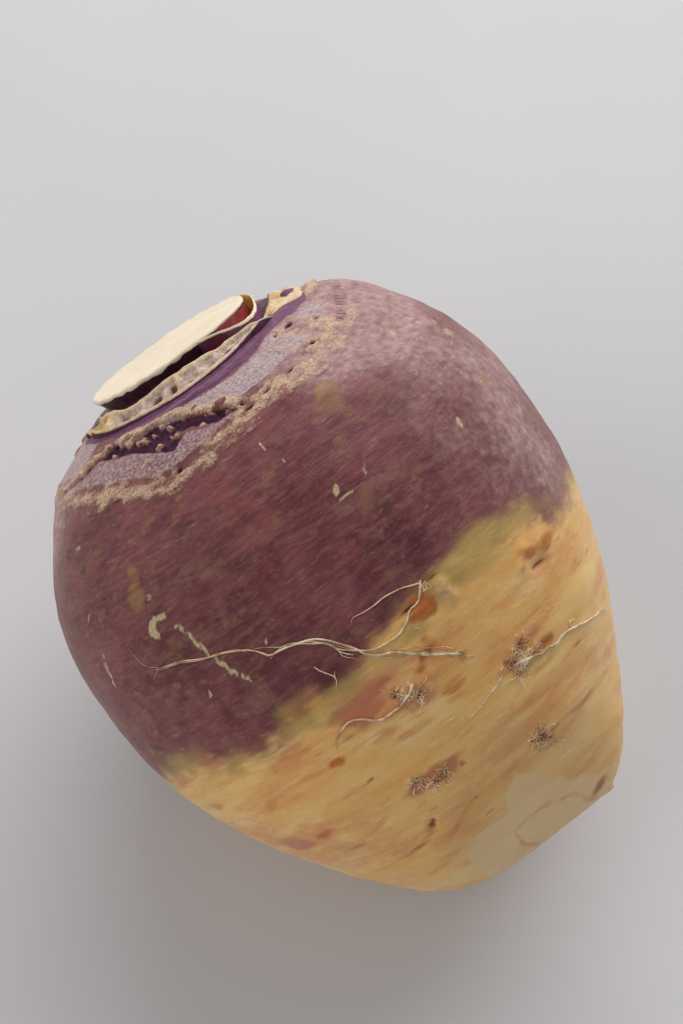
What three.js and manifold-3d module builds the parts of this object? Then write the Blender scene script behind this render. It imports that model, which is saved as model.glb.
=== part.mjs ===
// A rutabaga (swede) lying on its side, as it comes from the field: the leaf stalks are cut away at the
// crown and the tap root is sliced off, and it leans root end down on one small flat spot of its skin.
// Millimetres, +Z up. The origin is the centre of the flat spot, and the root end points along +X.
import * as THREE from 'three';
import { mergeVertices } from 'three/addons/utils/BufferGeometryUtils.js';
import Module from 'manifold-3d';

// A place on the root is told by its station, the distance from the crown along the root's axis, and by
// its angle round that axis in degrees: 0 is the top line, 90 the front side (-Y), 180 the underside.
const LEAN = 25; // how far the root end points below level
const REST_DEPTH = 2; // how deep the flat spot is pressed into the round skin

// Outline of the swollen root, [radius, station], from under the leaf bases to past the root cut.
const SHOULDER = [[25, 4.2], [31, 6.5], [41.4, 12], [48.9, 20], [57.1, 32], [61.9, 46], [62.7, 62], [61.4, 78]];
const TAPER = [[56.9, 94], [51.5, 108], [44.9, 120], [37.4, 131], [29.6, 140], [21.4, 146], [11, 152]];
const TIP_STATION = 156;
const OUTLINE_STEPS = 36;
const ROUND_STEPS = 48;

// The neck is a short oval core, a little narrower just above the shoulder, cut straight across by a knife.
const NECK_RADIUS = 20.9; // half its length across the lean
const NECK_FLATNESS = 0.74; // its half width along the lean, as a share of that
const NECK_WAIST = 19;
const NECK_FOOT = 3.6; // station where it meets the shoulder
const NECK_STUB = 12; // length left above the crown before the knife cut
const NECK_BEND = 17; // the neck leans towards the front side
const BEND_ANGLE = 20; // the angle round the axis that it leans to
const BEND_END = 62; // station where the lean has faded out

// Low swellings of the root: [station, angle, height, spread].
const SWELLINGS = [[14, -62, 2, 14], [141, -48, 3, 13], [84, 180, 1.5, 26], [88, 102, 1.3, 24], [30, 62, 0.8, 16]];

// Knife cuts: where the plane crosses the axis, how far its outward side leans from the +X end of the
// axis, and the angle round the axis that it leans to. The crown cut faces the other way.
const CROWN_CUT = { station: -1.2, tilt: 178.6, towards: -46 };
const END_CUT = { station: 148.4, tilt: 6, towards: 15 };
const TRIM_CUT = { station: 162.4, tilt: 44, towards: 10 };

const GAP = 0.35; // clearance that touching pieces keep
const CUTTER = 300;

// Dry leaf bases and the cut stalk, each a curved strip round the neck. The stalk follows the neck's oval.
const FRONT_BASE = { from: -18, to: 116, inner: 21.4, outer: 26.6, low: 9, high: 1, wall: 0, oval: false };
const UPPER_BASE = { from: -80, to: -42, inner: 26.4, outer: 29.9, low: 12, high: 3.2, wall: 0, oval: false };
const STALK = { from: -78, to: -14, inner: 21.4, outer: 26, low: 5, high: 0, wall: 0.9, oval: true };
const ARC_STEPS = 14;
const END_THINNING = 0.55; // how much thinner a strip is at its two ends

// Side rootlets lying on the skin: radius and the [station, angle] places that each passes.
const ROOTLETS = [
  ['rootlet_long', 0.55, [[94, 4], [88, 14], [83, 20], [79, 24], [72, 30], [66, 40], [64, 46], [60, 54], [55, 60]]],
  ['rootlet_companion', 0.45, [[77, 5], [79.5, 9], [81, 14], [79, 19], [75.5, 23.5], [71, 28], [68, 33], [64, 38]]],
  ['rootlet_upper', 0.4, [[74, 5], [74.5, 11], [74.5, 15.5], [74, 19.5]]],
  ['rootlet_hooked', 0.5, [[94.5, 18], [96, 23], [95.5, 28], [93.5, 33], [94, 37], [97, 41]]],
  ['rootlet_side', 0.5, [[103, -5], [104, -12], [105, -19], [106, -26], [108, -35], [110, -44]]],
  ['rootlet_fine', 0.35, [[102, 0], [103.5, 5], [104.5, 10], [104, 15], [102.5, 19]]],
];
const ROOTLET_SIDES = 8;
const ROOTLET_STEP = 3; // length of one tube step
const ROOTLET_LIFT = 0.45; // between the skin and the strand

const wasm = await Module();
wasm.setup();

const rad = THREE.MathUtils.degToRad;

function material(color, roughness) {
  return new THREE.MeshStandardMaterial({ color, roughness, metalness: 0 });
}

const skin = material('#6f4459', 0.55);
const dryLeaf = material('#b39a7c', 0.9);
const stalkFlesh = material('#e9dcb4', 0.7);
const fibre = material('#d9c6a4', 0.85);

// ---- solids ----

function toSolid(geometry) {
  const plain = geometry.clone();
  plain.deleteAttribute('normal');
  plain.deleteAttribute('uv');
  const merged = mergeVertices(plain, 1e-4);
  const vertProperties = new Float32Array(merged.attributes.position.array);
  const triVerts = new Uint32Array(merged.index.array);
  return new wasm.Manifold(new wasm.Mesh({ numProp: 3, vertProperties, triVerts }));
}

function toGeometry(solid) {
  const mesh = solid.getMesh();
  const geometry = new THREE.BufferGeometry();
  geometry.setAttribute('position', new THREE.BufferAttribute(mesh.vertProperties, 3));
  geometry.setIndex(new THREE.BufferAttribute(mesh.triVerts, 1));
  geometry.computeVertexNormals();
  return geometry;
}

// Moves each vertex of a geometry by a function of its position.
function reshape(geometry, move) {
  const places = geometry.attributes.position;
  const point = new THREE.Vector3();
  for (let i = 0; i < places.count; i += 1) {
    point.fromBufferAttribute(places, i);
    move(point);
    places.setXYZ(i, point.x, point.y, point.z);
  }
  return geometry;
}

// ---- the root's own coordinates: +X along the axis, +Z to angle 0, -Y to angle 90 ----

function direction(angle) {
  return new THREE.Vector3(0, -Math.sin(rad(angle)), Math.cos(rad(angle)));
}

function swelling(station, angle) {
  let height = 0;
  for (const [at, towards, most, spread] of SWELLINGS) {
    const turn = THREE.MathUtils.euclideanModulo(angle - towards + 180, 360) - 180;
    const round = rad(turn) * 50;
    height += most * Math.exp(-((station - at) ** 2 + round ** 2) / (2 * spread ** 2));
  }
  return height;
}

// Leans the neck over, most at the crown and not at all past BEND_END.
function leanNeck(point) {
  const lean = rad(NECK_BEND) * (1 - THREE.MathUtils.smoothstep(point.x, 0, BEND_END));
  const hinge = direction(BEND_ANGLE - 90);
  const pivot = new THREE.Vector3(BEND_END, 0, 0);
  point.sub(pivot).applyAxisAngle(hinge, lean).add(pivot);
}

const outline = new THREE.SplineCurve([...SHOULDER, ...TAPER].map(([r, s]) => new THREE.Vector2(r, s)));
const outlinePoints = outline.getPoints(OUTLINE_STEPS);

function skinRadius(station, angle) {
  const after = outlinePoints.findIndex((point) => point.y >= station);
  const a = outlinePoints[after - 1];
  const b = outlinePoints[after];
  const radius = THREE.MathUtils.mapLinear(station, a.y, b.y, a.x, b.x);
  return radius + swelling(station, angle);
}

function onSkin(station, angle, lift) {
  const point = direction(angle).multiplyScalar(skinRadius(station, angle) + lift);
  point.x = station;
  leanNeck(point);
  return point;
}

// How far the oval neck reaches at an angle, as a share of its half length.
function ovalShare(angle) {
  const turn = rad(angle - BEND_ANGLE);
  return 1 / Math.hypot(Math.cos(turn) / NECK_FLATNESS, Math.sin(turn));
}

// A lathe turns its profile round Y, so Y is laid along +X and the swellings and the lean are added.
function turned(profile) {
  const geometry = new THREE.LatheGeometry(profile, ROUND_STEPS);
  geometry.applyMatrix4(new THREE.Matrix4().makeRotationZ(-Math.PI / 2));
  return reshape(geometry, (point) => {
    const angle = THREE.MathUtils.radToDeg(Math.atan2(-point.y, point.z));
    const radius = Math.hypot(point.y, point.z);
    const oval = point.x <= NECK_FOOT ? ovalShare(angle) : 1;
    const grown = radius * oval + swelling(point.x, angle) * Math.min(radius / NECK_RADIUS, 1);
    if (radius > 0) {
      point.y *= grown / radius;
      point.z *= grown / radius;
    }
  });
}

// A big block with one face on the plane that the cut is made in, which crosses the axis at a station.
function knife({ station, tilt, towards }) {
  const block = new THREE.BoxGeometry(CUTTER, CUTTER, CUTTER);
  block.translate(CUTTER / 2, 0, 0);
  const turn = new THREE.Quaternion().setFromAxisAngle(direction(towards + 90), rad(tilt));
  block.applyQuaternion(turn);
  block.translate(station, 0, 0);
  return toSolid(block);
}

// ---- the swollen root ----

// The root without its cuts; `grow` makes it thicker all over, as a cutter for what lies on it.
function wholeRoot(grow) {
  const neck = [[0, -NECK_STUB], [NECK_RADIUS, -NECK_STUB], [NECK_RADIUS, -0.5], [NECK_WAIST, 2],
    [NECK_WAIST, NECK_FOOT]];
  const profile = neck.map(([r, s]) => new THREE.Vector2(r > 0 ? r + grow : 0, s));
  profile.push(...outlinePoints.map((point) => new THREE.Vector2(point.x + grow, point.y - grow)));
  profile.push(new THREE.Vector2(0, TIP_STATION));
  return turned(profile);
}

function leanedSolid(geometry) {
  return toSolid(reshape(geometry, leanNeck));
}

function lowestHeight(solid) {
  const lean = new THREE.Matrix4().makeRotationY(rad(LEAN));
  const geometry = toGeometry(solid).applyMatrix4(lean);
  geometry.computeBoundingBox();
  return geometry.boundingBox.min.z;
}

// The block under the floor plane at `height`, in the root's own coordinates.
function floorBlock(height) {
  const block = new THREE.BoxGeometry(CUTTER, CUTTER, CUTTER);
  block.translate(0, 0, height - CUTTER / 2);
  block.applyMatrix4(new THREE.Matrix4().makeRotationY(-rad(LEAN)));
  return toSolid(block);
}

function cutRoot() {
  const straight = toSolid(wholeRoot(0)).subtract(knife(CROWN_CUT));
  let solid = leanedSolid(toGeometry(straight));
  for (const cut of [TRIM_CUT, END_CUT]) {
    solid = solid.subtract(knife(cut));
  }
  const floor = lowestHeight(solid) + REST_DEPTH;
  return { solid: solid.subtract(floorBlock(floor)), floor };
}

// ---- leaf bases and the cut stalk ----

// The outline of a strip round the axis, drawn in a plane whose +X is angle 0 and +Y is angle 90.
function stripShape(from, to, inner, outer) {
  const shape = new THREE.Shape();
  shape.absarc(0, 0, outer, rad(from), rad(to), false);
  shape.absarc(0, 0, inner, rad(to), rad(from), true);
  shape.closePath();
  return shape;
}

// Extrudes an outline along the axis from station `high` to station `low`.
function alongNeck(shape, high, low) {
  const geometry = new THREE.ExtrudeGeometry(shape, {
    depth: low - high, steps: 3, bevelEnabled: false, curveSegments: ARC_STEPS,
  });
  geometry.translate(0, 0, high);
  const basis = new THREE.Matrix4().makeBasis(direction(0), direction(90), new THREE.Vector3(1, 0, 0));
  return geometry.applyMatrix4(basis);
}

// A strip that clasps the neck and thins to its two ends. One with a wall is hollow along the axis, as a
// leaf stalk is where it clasps the neck.
function claspingStrip({ from, to, inner, outer, low, high, wall, oval }) {
  const shape = stripShape(from, to, inner, outer);
  if (wall > 0) {
    const turn = THREE.MathUtils.radToDeg(2 * wall / inner);
    shape.holes.push(stripShape(from + turn, to - turn, inner + wall, outer - wall));
  }
  const middle = (from + to) / 2;
  const half = (to - from) / 2;
  return reshape(alongNeck(shape, high, low), (point) => {
    const angle = THREE.MathUtils.radToDeg(Math.atan2(-point.y, point.z));
    const radius = Math.hypot(point.y, point.z);
    const thinning = 1 - END_THINNING * ((angle - middle) / half) ** 2;
    const clasped = oval ? inner - NECK_RADIUS + NECK_RADIUS * ovalShare(angle) : inner;
    const drawn = clasped + (radius - inner) * thinning;
    point.y *= drawn / radius;
    point.z *= drawn / radius;
  });
}

// ---- rootlets ----

function strand(radius, places) {
  const points = places.map(([station, angle]) => onSkin(station, angle, radius + ROOTLET_LIFT));
  const path = new THREE.CatmullRomCurve3(points, false, 'centripetal');
  const section = new THREE.Shape();
  section.absarc(0, 0, radius, 0, 2 * Math.PI, false);
  return new THREE.ExtrudeGeometry(section, {
    steps: Math.round(path.getLength() / ROOTLET_STEP),
    curveSegments: ROOTLET_SIDES,
    extrudePath: path,
  });
}

// ---- the rutabaga ----

const { solid: rootSolid, floor } = cutRoot();
const clearance = leanedSolid(wholeRoot(GAP));
const rutabaga = new THREE.Group();
rutabaga.rotation.y = rad(LEAN);

function add(name, geometry, finish) {
  const mesh = new THREE.Mesh(geometry, finish);
  mesh.name = name;
  rutabaga.add(mesh);
}

// What stands on the shoulder is trimmed to it, with the clearance between them.
function addOnShoulder(name, geometry, finish) {
  add(name, toGeometry(leanedSolid(geometry).subtract(clearance)), finish);
}

add('root', toGeometry(rootSolid), skin);
addOnShoulder('leaf_base_front', claspingStrip(FRONT_BASE), dryLeaf);
addOnShoulder('leaf_base_upper', claspingStrip(UPPER_BASE), dryLeaf);
addOnShoulder('leaf_stalk_stub', claspingStrip(STALK), stalkFlesh);
for (const [name, radius, places] of ROOTLETS) {
  add(name, strand(radius, places), fibre);
}

// The origin is the centre of the flat spot.
const flatSpot = new THREE.Box3();
const placed = toGeometry(rootSolid).applyMatrix4(new THREE.Matrix4().makeRotationY(rad(LEAN)));
const spot = new THREE.Vector3();
for (let i = 0; i < placed.attributes.position.count; i += 1) {
  spot.fromBufferAttribute(placed.attributes.position, i);
  if (spot.z < floor + 1e-3) {
    flatSpot.expandByPoint(spot);
  }
}
flatSpot.getCenter(rutabaga.position).negate();

export default rutabaga;
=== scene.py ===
"""A rutabaga lying on its side: the swollen root, its cut leaf bases and its dry side rootlets."""
import math

import bpy
import numpy as np
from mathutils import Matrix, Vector
from mathutils.bvhtree import BVHTree


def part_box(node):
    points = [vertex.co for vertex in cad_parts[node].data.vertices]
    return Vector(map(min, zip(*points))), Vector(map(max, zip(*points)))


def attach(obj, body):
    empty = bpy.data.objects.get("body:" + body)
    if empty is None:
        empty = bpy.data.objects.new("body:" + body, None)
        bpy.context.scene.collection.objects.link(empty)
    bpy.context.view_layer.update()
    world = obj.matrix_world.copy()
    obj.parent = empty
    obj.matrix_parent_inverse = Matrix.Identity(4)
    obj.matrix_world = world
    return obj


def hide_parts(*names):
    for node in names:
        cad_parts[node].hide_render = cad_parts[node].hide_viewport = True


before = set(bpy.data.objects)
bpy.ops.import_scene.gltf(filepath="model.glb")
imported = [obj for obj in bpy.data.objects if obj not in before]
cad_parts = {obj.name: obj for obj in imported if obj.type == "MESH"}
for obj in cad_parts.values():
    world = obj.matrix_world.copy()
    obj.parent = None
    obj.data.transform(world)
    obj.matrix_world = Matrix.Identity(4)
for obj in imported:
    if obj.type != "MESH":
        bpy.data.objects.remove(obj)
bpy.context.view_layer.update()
bpy.ops.object.select_all(action="DESELECT")

MM = 0.001
WELD = 0.002 * MM  # vertices closer than this are one
MEAN_RADIUS = 50  # of the root, for turning angles into rough distances

# ---------------------------------------------------------------- the root's own coordinates
# A place is told in millimetres by its station, the distance from the crown along the root's axis,
# its angle round the axis in degrees (0 on top, 90 on the front side, 180 underneath), and its
# radius from the axis. The sizes repeat those of the CAD root.
LEAN = 25
NECK_BEND = 17
BEND_ANGLE = 20
BEND_END = 62
CROWN_INSET = (8.7, 63.4, 38.2)  # from the CAD root's box: its low X, low Y and high Z sides

root_low, root_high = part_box("root")
CROWN = np.array([
    root_low.x / MM + CROWN_INSET[0],
    root_low.y / MM + CROWN_INSET[1],
    root_high.z / MM - CROWN_INSET[2],
])

SHOULDER = [(25, 4.2), (31, 6.5), (41.4, 12), (48.9, 20), (57.1, 32), (61.9, 46), (62.7, 62), (61.4, 78)]
TAPER = [(56.9, 94), (51.5, 108), (44.9, 120), (37.4, 131), (29.6, 140), (21.4, 146), (11, 152)]
NECK = [(20.3, -0.5), (20.7, -0.4), (20.95, -0.05), (20.8, 0.4), (20.3, 1.0), (19.7, 1.7), (19.2, 2.5),
        (19.3, 3.3), (20.2, 3.9), (21.6, 4.15), (23.2, 4.1)]
NECK_RADIUS = 20.9
NECK_FLATNESS = 0.74
NECK_SHIFT = 0.8  # the crown face stands this far towards the lean
SWELLINGS = [(14, -62, 2, 14), (141, -48, 3, 13), (84, 180, 1.5, 26), (88, 102, 1.3, 24), (30, 62, 0.8, 16)]
CROWN_CUT = (-0.7, 1.4, -46)  # rise above the drawn face, tilt of the plane, angle that it falls to
END_CUT = (148.4, 6, 15)  # station on the axis, tilt of the plane, angle that it tilts to
TRIM_CUT = (162.4, 44, 10)


def turn(degrees):
    """Degrees brought to -180..180."""
    return (degrees + 180) % 360 - 180


def ramp(value, start, end):
    """Smooth step from 0 at start to 1 at end."""
    t = np.clip((value - start) / (end - start), 0, 1)
    return t * t * (3 - 2 * t)


def read(table, at):
    """The value that a table of (place, value) pairs gives at a place."""
    return np.interp(at, *zip(*table))


def unbent(station, angle, radius):
    """Points on the root as if it stood straight: the station, then the two ways across."""
    a = np.radians(angle)
    return np.stack([station, radius * np.cos(a), radius * np.sin(a)], axis=-1)


def smooth_line(points, per_span):
    """Points along an even Catmull-Rom curve through the given points."""
    p = np.array(points, float)
    padded = np.vstack([p[:1], p, p[-1:]])
    out = []
    for a, b, c, d in zip(padded, padded[1:], padded[2:], padded[3:]):
        for t in np.arange(per_span) / per_span:
            out.append(b + (c - a) * t / 2 + (a - 2.5 * b + 2 * c - d / 2) * t ** 2
                       + (1.5 * (b - c) + (d - a) / 2) * t ** 3)
    return np.array(out + [p[-1]])


def spaced(points, gap):
    """The same line with its points an even gap apart."""
    steps = np.hypot(*np.diff(points, axis=0).T)
    run = np.concatenate([[0], np.cumsum(steps)])
    at = np.linspace(0, run[-1], max(2, round(run[-1] / gap) + 1))
    return np.column_stack([np.interp(at, run, points[:, k]) for k in range(points.shape[1])])


OUTLINE = smooth_line(SHOULDER + TAPER, 24)
OUTLINE_RUN = np.concatenate([[0], np.cumsum(np.hypot(*np.diff(OUTLINE, axis=0).T))])


def run_at(station):
    """Distance over the skin from the foot of the neck to a station."""
    return np.interp(station, OUTLINE[:, 1], OUTLINE_RUN)


def outline_radius(station):
    return np.interp(station, OUTLINE[:, 1], OUTLINE[:, 0])


def swelling(station, angle):
    height = 0
    for at, towards, most, spread in SWELLINGS:
        around = np.radians(turn(angle - towards)) * MEAN_RADIUS
        height = height + most * np.exp(-((station - at) ** 2 + around ** 2) / (2 * spread ** 2))
    return height


def placed(station, angle, radius):
    """Row-frame points, in millimetres, of places on the root."""
    a = np.radians(angle - BEND_ANGLE)
    towards = radius * np.cos(a)
    aside = radius * np.sin(a)
    bend = np.radians(NECK_BEND) * (1 - ramp(station, 0, BEND_END))
    x = station - BEND_END
    along = x * np.cos(bend) + towards * np.sin(bend) + BEND_END
    towards = towards * np.cos(bend) - x * np.sin(bend)
    b = math.radians(BEND_ANGLE)
    up = towards * math.cos(b) - aside * math.sin(b)
    front = towards * math.sin(b) + aside * math.cos(b)
    lean = math.radians(LEAN)
    return CROWN + np.stack([
        along * math.cos(lean) + up * math.sin(lean),
        -front,
        up * math.cos(lean) - along * math.sin(lean),
    ], axis=-1)


# ---------------------------------------------------------------- noise for grown surfaces
def lattice(cell, seed):
    """A steady random value, -1 to 1, for each whole-number cell."""
    mixed = (cell[..., 0] * 73856093) ^ (cell[..., 1] * 19349663) ^ (cell[..., 2] * 83492791)
    mixed = (mixed ^ (seed * 2654435)) & 0xFFFFFFFF
    mixed = (mixed ^ (mixed >> 15)) * 2246822519 & 0xFFFFFFFF
    mixed = (mixed ^ (mixed >> 13)) * 3266489917 & 0xFFFFFFFF
    return (mixed ^ (mixed >> 16)) / 0x7FFFFFFF - 1


def grain(points, size, seed):
    """Smooth random values, -1 to 1, with bumps about `size` mm across."""
    cell = points / size
    low = np.floor(cell).astype(np.int64)
    f = cell - low
    f = f * f * (3 - 2 * f)
    total = 0
    for corner in np.ndindex(2, 2, 2):
        weight = np.prod(np.where(corner, f, 1 - f), axis=-1)
        total = total + weight * lattice(low + corner, seed)
    return total


def rough(points, size, octaves, seed):
    """Grain with finer and finer grain on it."""
    total = 0
    for k in range(octaves):
        total = total + grain(points, size / 2 ** k, seed + k) / 2 ** k
    return total


# ---------------------------------------------------------------- mesh helpers
def active(obj):
    bpy.ops.object.select_all(action="DESELECT")
    obj.select_set(True)
    bpy.context.view_layer.objects.active = obj


def points_of(obj):
    """An object's vertices in millimetres."""
    flat = np.empty(len(obj.data.vertices) * 3)
    obj.data.vertices.foreach_get("co", flat)
    return flat.reshape(-1, 3) / MM


def set_points(obj, points):
    obj.data.vertices.foreach_set("co", (points * MM).ravel())
    obj.data.update()


def normals_of(obj):
    flat = np.empty(len(obj.data.vertices) * 3)
    obj.data.vertices.foreach_get("normal", flat)
    return flat.reshape(-1, 3)


def paint(obj, name, values):
    """Stores one value for each vertex, for the materials to read."""
    layer = obj.data.attributes.new(name, "FLOAT", "POINT")
    layer.data.foreach_set("value", np.clip(values, 0, 1).astype(np.float32))


def paint_place(obj, station, angle, radius):
    """Stores where each vertex lies on the unbent root, so that patterns can run round it."""
    layer = obj.data.attributes.new("place", "FLOAT_VECTOR", "POINT")
    layer.data.foreach_set("vector", (unbent(station, angle, radius) * MM).astype(np.float32).ravel())


def outward(obj):
    """Recalculates the normals to point out and shades the piece smooth."""
    active(obj)
    bpy.ops.object.mode_set(mode="EDIT")
    bpy.ops.mesh.select_all(action="SELECT")
    bpy.ops.mesh.normals_make_consistent(inside=False)
    bpy.ops.object.mode_set(mode="OBJECT")
    bpy.ops.object.shade_smooth()


def turned(name, profile, steps, start=0.0, sweep=360.0, closed=False):
    """Draws a profile of (radius, station) vertex by vertex and spins it round the Z axis."""
    bpy.ops.mesh.primitive_plane_add(size=MM, location=(0, 0, 0))
    obj = bpy.context.object
    obj.name = name
    obj.data.name = name
    bpy.ops.object.mode_set(mode="EDIT")
    bpy.ops.mesh.select_all(action="SELECT")
    bpy.ops.mesh.merge(type="CENTER")
    a = math.radians(start)
    drawn = [Vector((r * math.cos(a), r * math.sin(a), s)) * MM for r, s in profile]
    bpy.ops.transform.translate(value=drawn[0])
    for here, there in zip(drawn, drawn[1:]):
        bpy.ops.mesh.extrude_region_move(TRANSFORM_OT_translate={"value": there - here})
    bpy.ops.mesh.select_all(action="SELECT")
    if closed:
        bpy.ops.mesh.remove_doubles(threshold=WELD)
    bpy.ops.mesh.spin(steps=steps, angle=math.radians(sweep), center=(0, 0, 0), axis=(0, 0, -1))
    bpy.ops.mesh.select_all(action="SELECT")
    bpy.ops.mesh.remove_doubles(threshold=WELD)
    if closed:
        bpy.ops.mesh.fill_holes(sides=0)
    bpy.ops.mesh.normals_make_consistent(inside=False)
    bpy.ops.object.mode_set(mode="OBJECT")
    return obj


def places_of(obj):
    """Station, angle and radius of each vertex of a turned piece, before it is laid in place."""
    p = points_of(obj)
    return p[:, 2], np.degrees(np.arctan2(p[:, 1], p[:, 0])), np.hypot(p[:, 0], p[:, 1])


# ---------------------------------------------------------------- where things are on the skin
# Edges of zones round the crown, as (angle, station) from one side of the root to the other.
CORK_TOP = [(-180, 10.5), (-120, 10), (-85, 9.8), (-60, 11), (-45, 12.6), (-33, 13.6), (-22, 13), (-13, 12),
            (0, 11.6), (8, 12.2), (14, 13.2), (20, 13.9), (27, 15.2), (35, 15.7), (42, 15), (48, 13.2),
            (55, 12.1), (65, 11.1), (75, 10.4), (85, 10.6), (100, 11), (140, 11.2), (180, 10.5)]
CORK_FOOT = [(-180, 12.8), (-120, 12.6), (-85, 12.4), (-60, 13.4), (-45, 15.4), (-33, 17), (-22, 18),
             (-13, 18.4), (-5, 17.5), (8, 17.2), (18, 18.5), (25, 19.7), (35, 20.4), (42, 19), (47, 17.6),
             (52, 15.8), (60, 15), (70, 14.2), (80, 13.3), (90, 12.9), (110, 13.1), (140, 13.8),
             (180, 12.8)]
FISSURE_TOP = [(8, 12.6), (12, 10.7), (18, 9.4), (24, 8.5), (29, 7.4), (35, 6.9), (40, 6.4), (50, 6.2),
               (57, 6.6), (63, 5.8), (70, 5.9), (78, 6.6), (86, 8.6), (94, 10.4)]
FISSURE_FOOT = [(8, 12.6), (12, 12.2), (18, 12.1), (22, 11), (26, 9.6), (29, 9.6), (33, 11.6), (37, 10.8),
                (43, 9.5), (50, 8.4), (57, 8), (65, 7.6), (72, 7.2), (78, 8.5), (86, 9.8), (94, 10.8)]
STRIP_FOOT = [(-60, 6.4), (-50, 7.9), (-45, 7.6), (-38, 7.2), (-32, 6.6), (-26, 6.3), (-20, 6.4),
              (-14, 6.7), (-8, 6.9), (0, 7.0), (8, 6.9), (16, 6.6), (22, 6.4), (30, 6.2), (40, 5.9),
              (50, 5.6), (60, 5.5), (70, 5.1), (100, 5.2), (112, 4.8)]
NET_TOP = [(-24, 6.6), (-14, 6.9), (0, 7.2), (10, 7.1), (20, 6.5), (27, 6.0), (40, 5.5), (66, 5.2)]
NET_FOOT = [(-24, 11.6), (-13, 11.1), (0, 11), (8, 10.8), (12, 10), (18, 8.8), (27, 8), (40, 7.4),
            (66, 7.4)]
LILAC_TOP = [(12, 12.6), (18, 12.4), (23, 11.4), (28, 9.8), (33, 11.2), (40, 10.2), (50, 8.4), (60, 7.8),
             (70, 7.2), (76, 8.6), (84, 9.8), (98, 10.4)]
LILAC_FOOT = [(12, 13.2), (18, 13.8), (28, 15), (40, 15), (48, 13), (55, 12), (65, 11), (75, 10.6),
              (84, 10.8), (98, 11)]
LEFT_PATCH_TOP = [(79, 5.4), (86, 5), (100, 5), (112, 5.2)]
LEFT_PATCH_FOOT = [(79, 6), (86, 8.2), (100, 9.8), (112, 8.6)]
# Lines as (station, angle).
CRUST_LINE = [(12.2, 7), (10.6, 11.5), (8.9, 18), (7.7, 24), (6.8, 28), (6.4, 33), (6.0, 40), (6.1, 47),
              (5.9, 56), (6.5, 63)]
LEFT_CRUST = [(6.2, 66), (7.8, 80), (10, 90), (10.8, 100)]
FLAP_CRUST = [(8.4, -74), (8.2, -66), (8.1, -58), (7.8, -51)]
LADDER = [(10.0, -64), (11.3, -52), (12, -44), (12.9, -38), (13.6, -32.5)]
CRUMBS = [(7.5, 47, 1.5), (6.2, 57, 1.5), (7.2, 37, 1.0), (8.2, 33.5, 0.8), (6.9, 52.5, 1.0),
          (7.6, 61, 0.8), (9.8, 38, 0.9), (11, 22.5, 0.8), (6.1, 68, 0.9)]
HIDDEN_SCARS = [
    [(6.5, 118), (8, 138), (7.5, 160), (6.5, 176)],
    [(9.5, 140), (10.4, 165), (10, 190), (8.8, 212)],
    [(6.5, 196), (7.8, 220), (7.4, 244), (6.4, 258)],
]
PURPLE_END = [(-180, 86), (-140, 87), (-100, 84), (-70, 83), (-50, 81.5), (-41, 84), (-30, 83), (-22, 80.5),
              (-11, 79), (-3, 79), (4, 78.4), (10, 79), (17, 80.8), (24, 84), (30, 85), (37, 85.6),
              (42, 85.6), (46, 88), (51, 89), (56, 87), (63, 84.4), (70, 83), (80, 82.5), (100, 83),
              (130, 85), (180, 86)]
SCRIBBLE = [(50, 49.4), (49, 50), (48.4, 52), (49.2, 54), (51, 54.5), (52.5, 54), (53.5, 53.4)]
SCRIBBLE_TAIL = [(51.8, 50), (53, 48.8), (54.5, 48), (57, 47.4), (60, 47), (63, 46.4), (66, 45.4),
                 (69, 44.4), (71.5, 43), (73.5, 42)]
SCRATCHES = [
    [(37, 71), (40, 73.4), (43, 76)], [(48, 72), (53, 73.6), (58, 75.6)], [(49, 73.4), (57, 74.8)],
    [(60, 80), (66, 80.4)], [(22, 13.8), (25.5, 13.2)], [(40, -31.6), (44, -29.8)],
    [(52, -22.4), (55.4, -22.8)], [(69, 51.8), (71, 52.8)], [(66, 35), (68.4, 36)],
    [(44, -37.6), (50, -37)], [(46.6, 7), (50.4, 9)], [(46.8, 7.6), (50, 8.6)], [(47, 0.8), (50, 1.6)],
    [(51, 5), (51.6, 9)], [(30, 12), (33, 11.6)], [(66, 150), (70, 146)], [(50, 210), (55, 213)],
    [(40, 262), (46, 266)], [(30, 170), (36, 174)],
]
FLECKS = [(48.4, 8, 0.8, 2.0), (34, -47, 2.2, 2.4), (36.5, -42, 1.8, 1.4), (30, -48, 2.0, 1.8),
          (24, -35, 1.6, 1.2), (30, -27, 1.6, 1.4), (27, -44, 1.6, 1.6), (54, -22.4, 0.8, 2.0),
          (43, 50.8, 1.0, 2.6), (21, 73, 2.4, 1.6)]
CREASES = [
    ([(121, -46), (120.4, -30), (120.6, -12), (120.8, -6)], 0.28, 0.7),
    ([(119.8, 2), (118.6, 9), (117, 14)], 0.2, 1.2),
    ([(123.4, 21), (124, 26), (126, 32), (127.6, 37), (129.6, 41)], 0.5, 0.8),
    ([(121.2, 35.6), (123, 38.4), (124.4, 42), (126, 52), (126.6, 66), (127, 84)], 0.35, 0.8),
    ([(112, 40), (114.5, 46), (116, 54), (118, 64), (119.4, 74)], 0.12, 0.7),
    ([(131, 38), (133, 48), (134, 62)], 0.2, 0.8),
    ([(106.6, -22), (107.4, -12), (106.8, -4)], 0.2, 0.8),
    ([(103.4, -18), (104.2, -13), (103.4, -9)], 0.5, 0.6),
    ([(96.4, 26), (96.8, 40), (96.6, 56), (98, 70)], 0.08, 0.6),
    ([(98, 160), (99, 180), (98, 205), (100, 225)], 0.2, 0.8),
    ([(112, 165), (113, 190), (112, 214)], 0.2, 0.8),
    ([(104, -95), (106, -115), (105, -140)], 0.15, 0.8),
]
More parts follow.
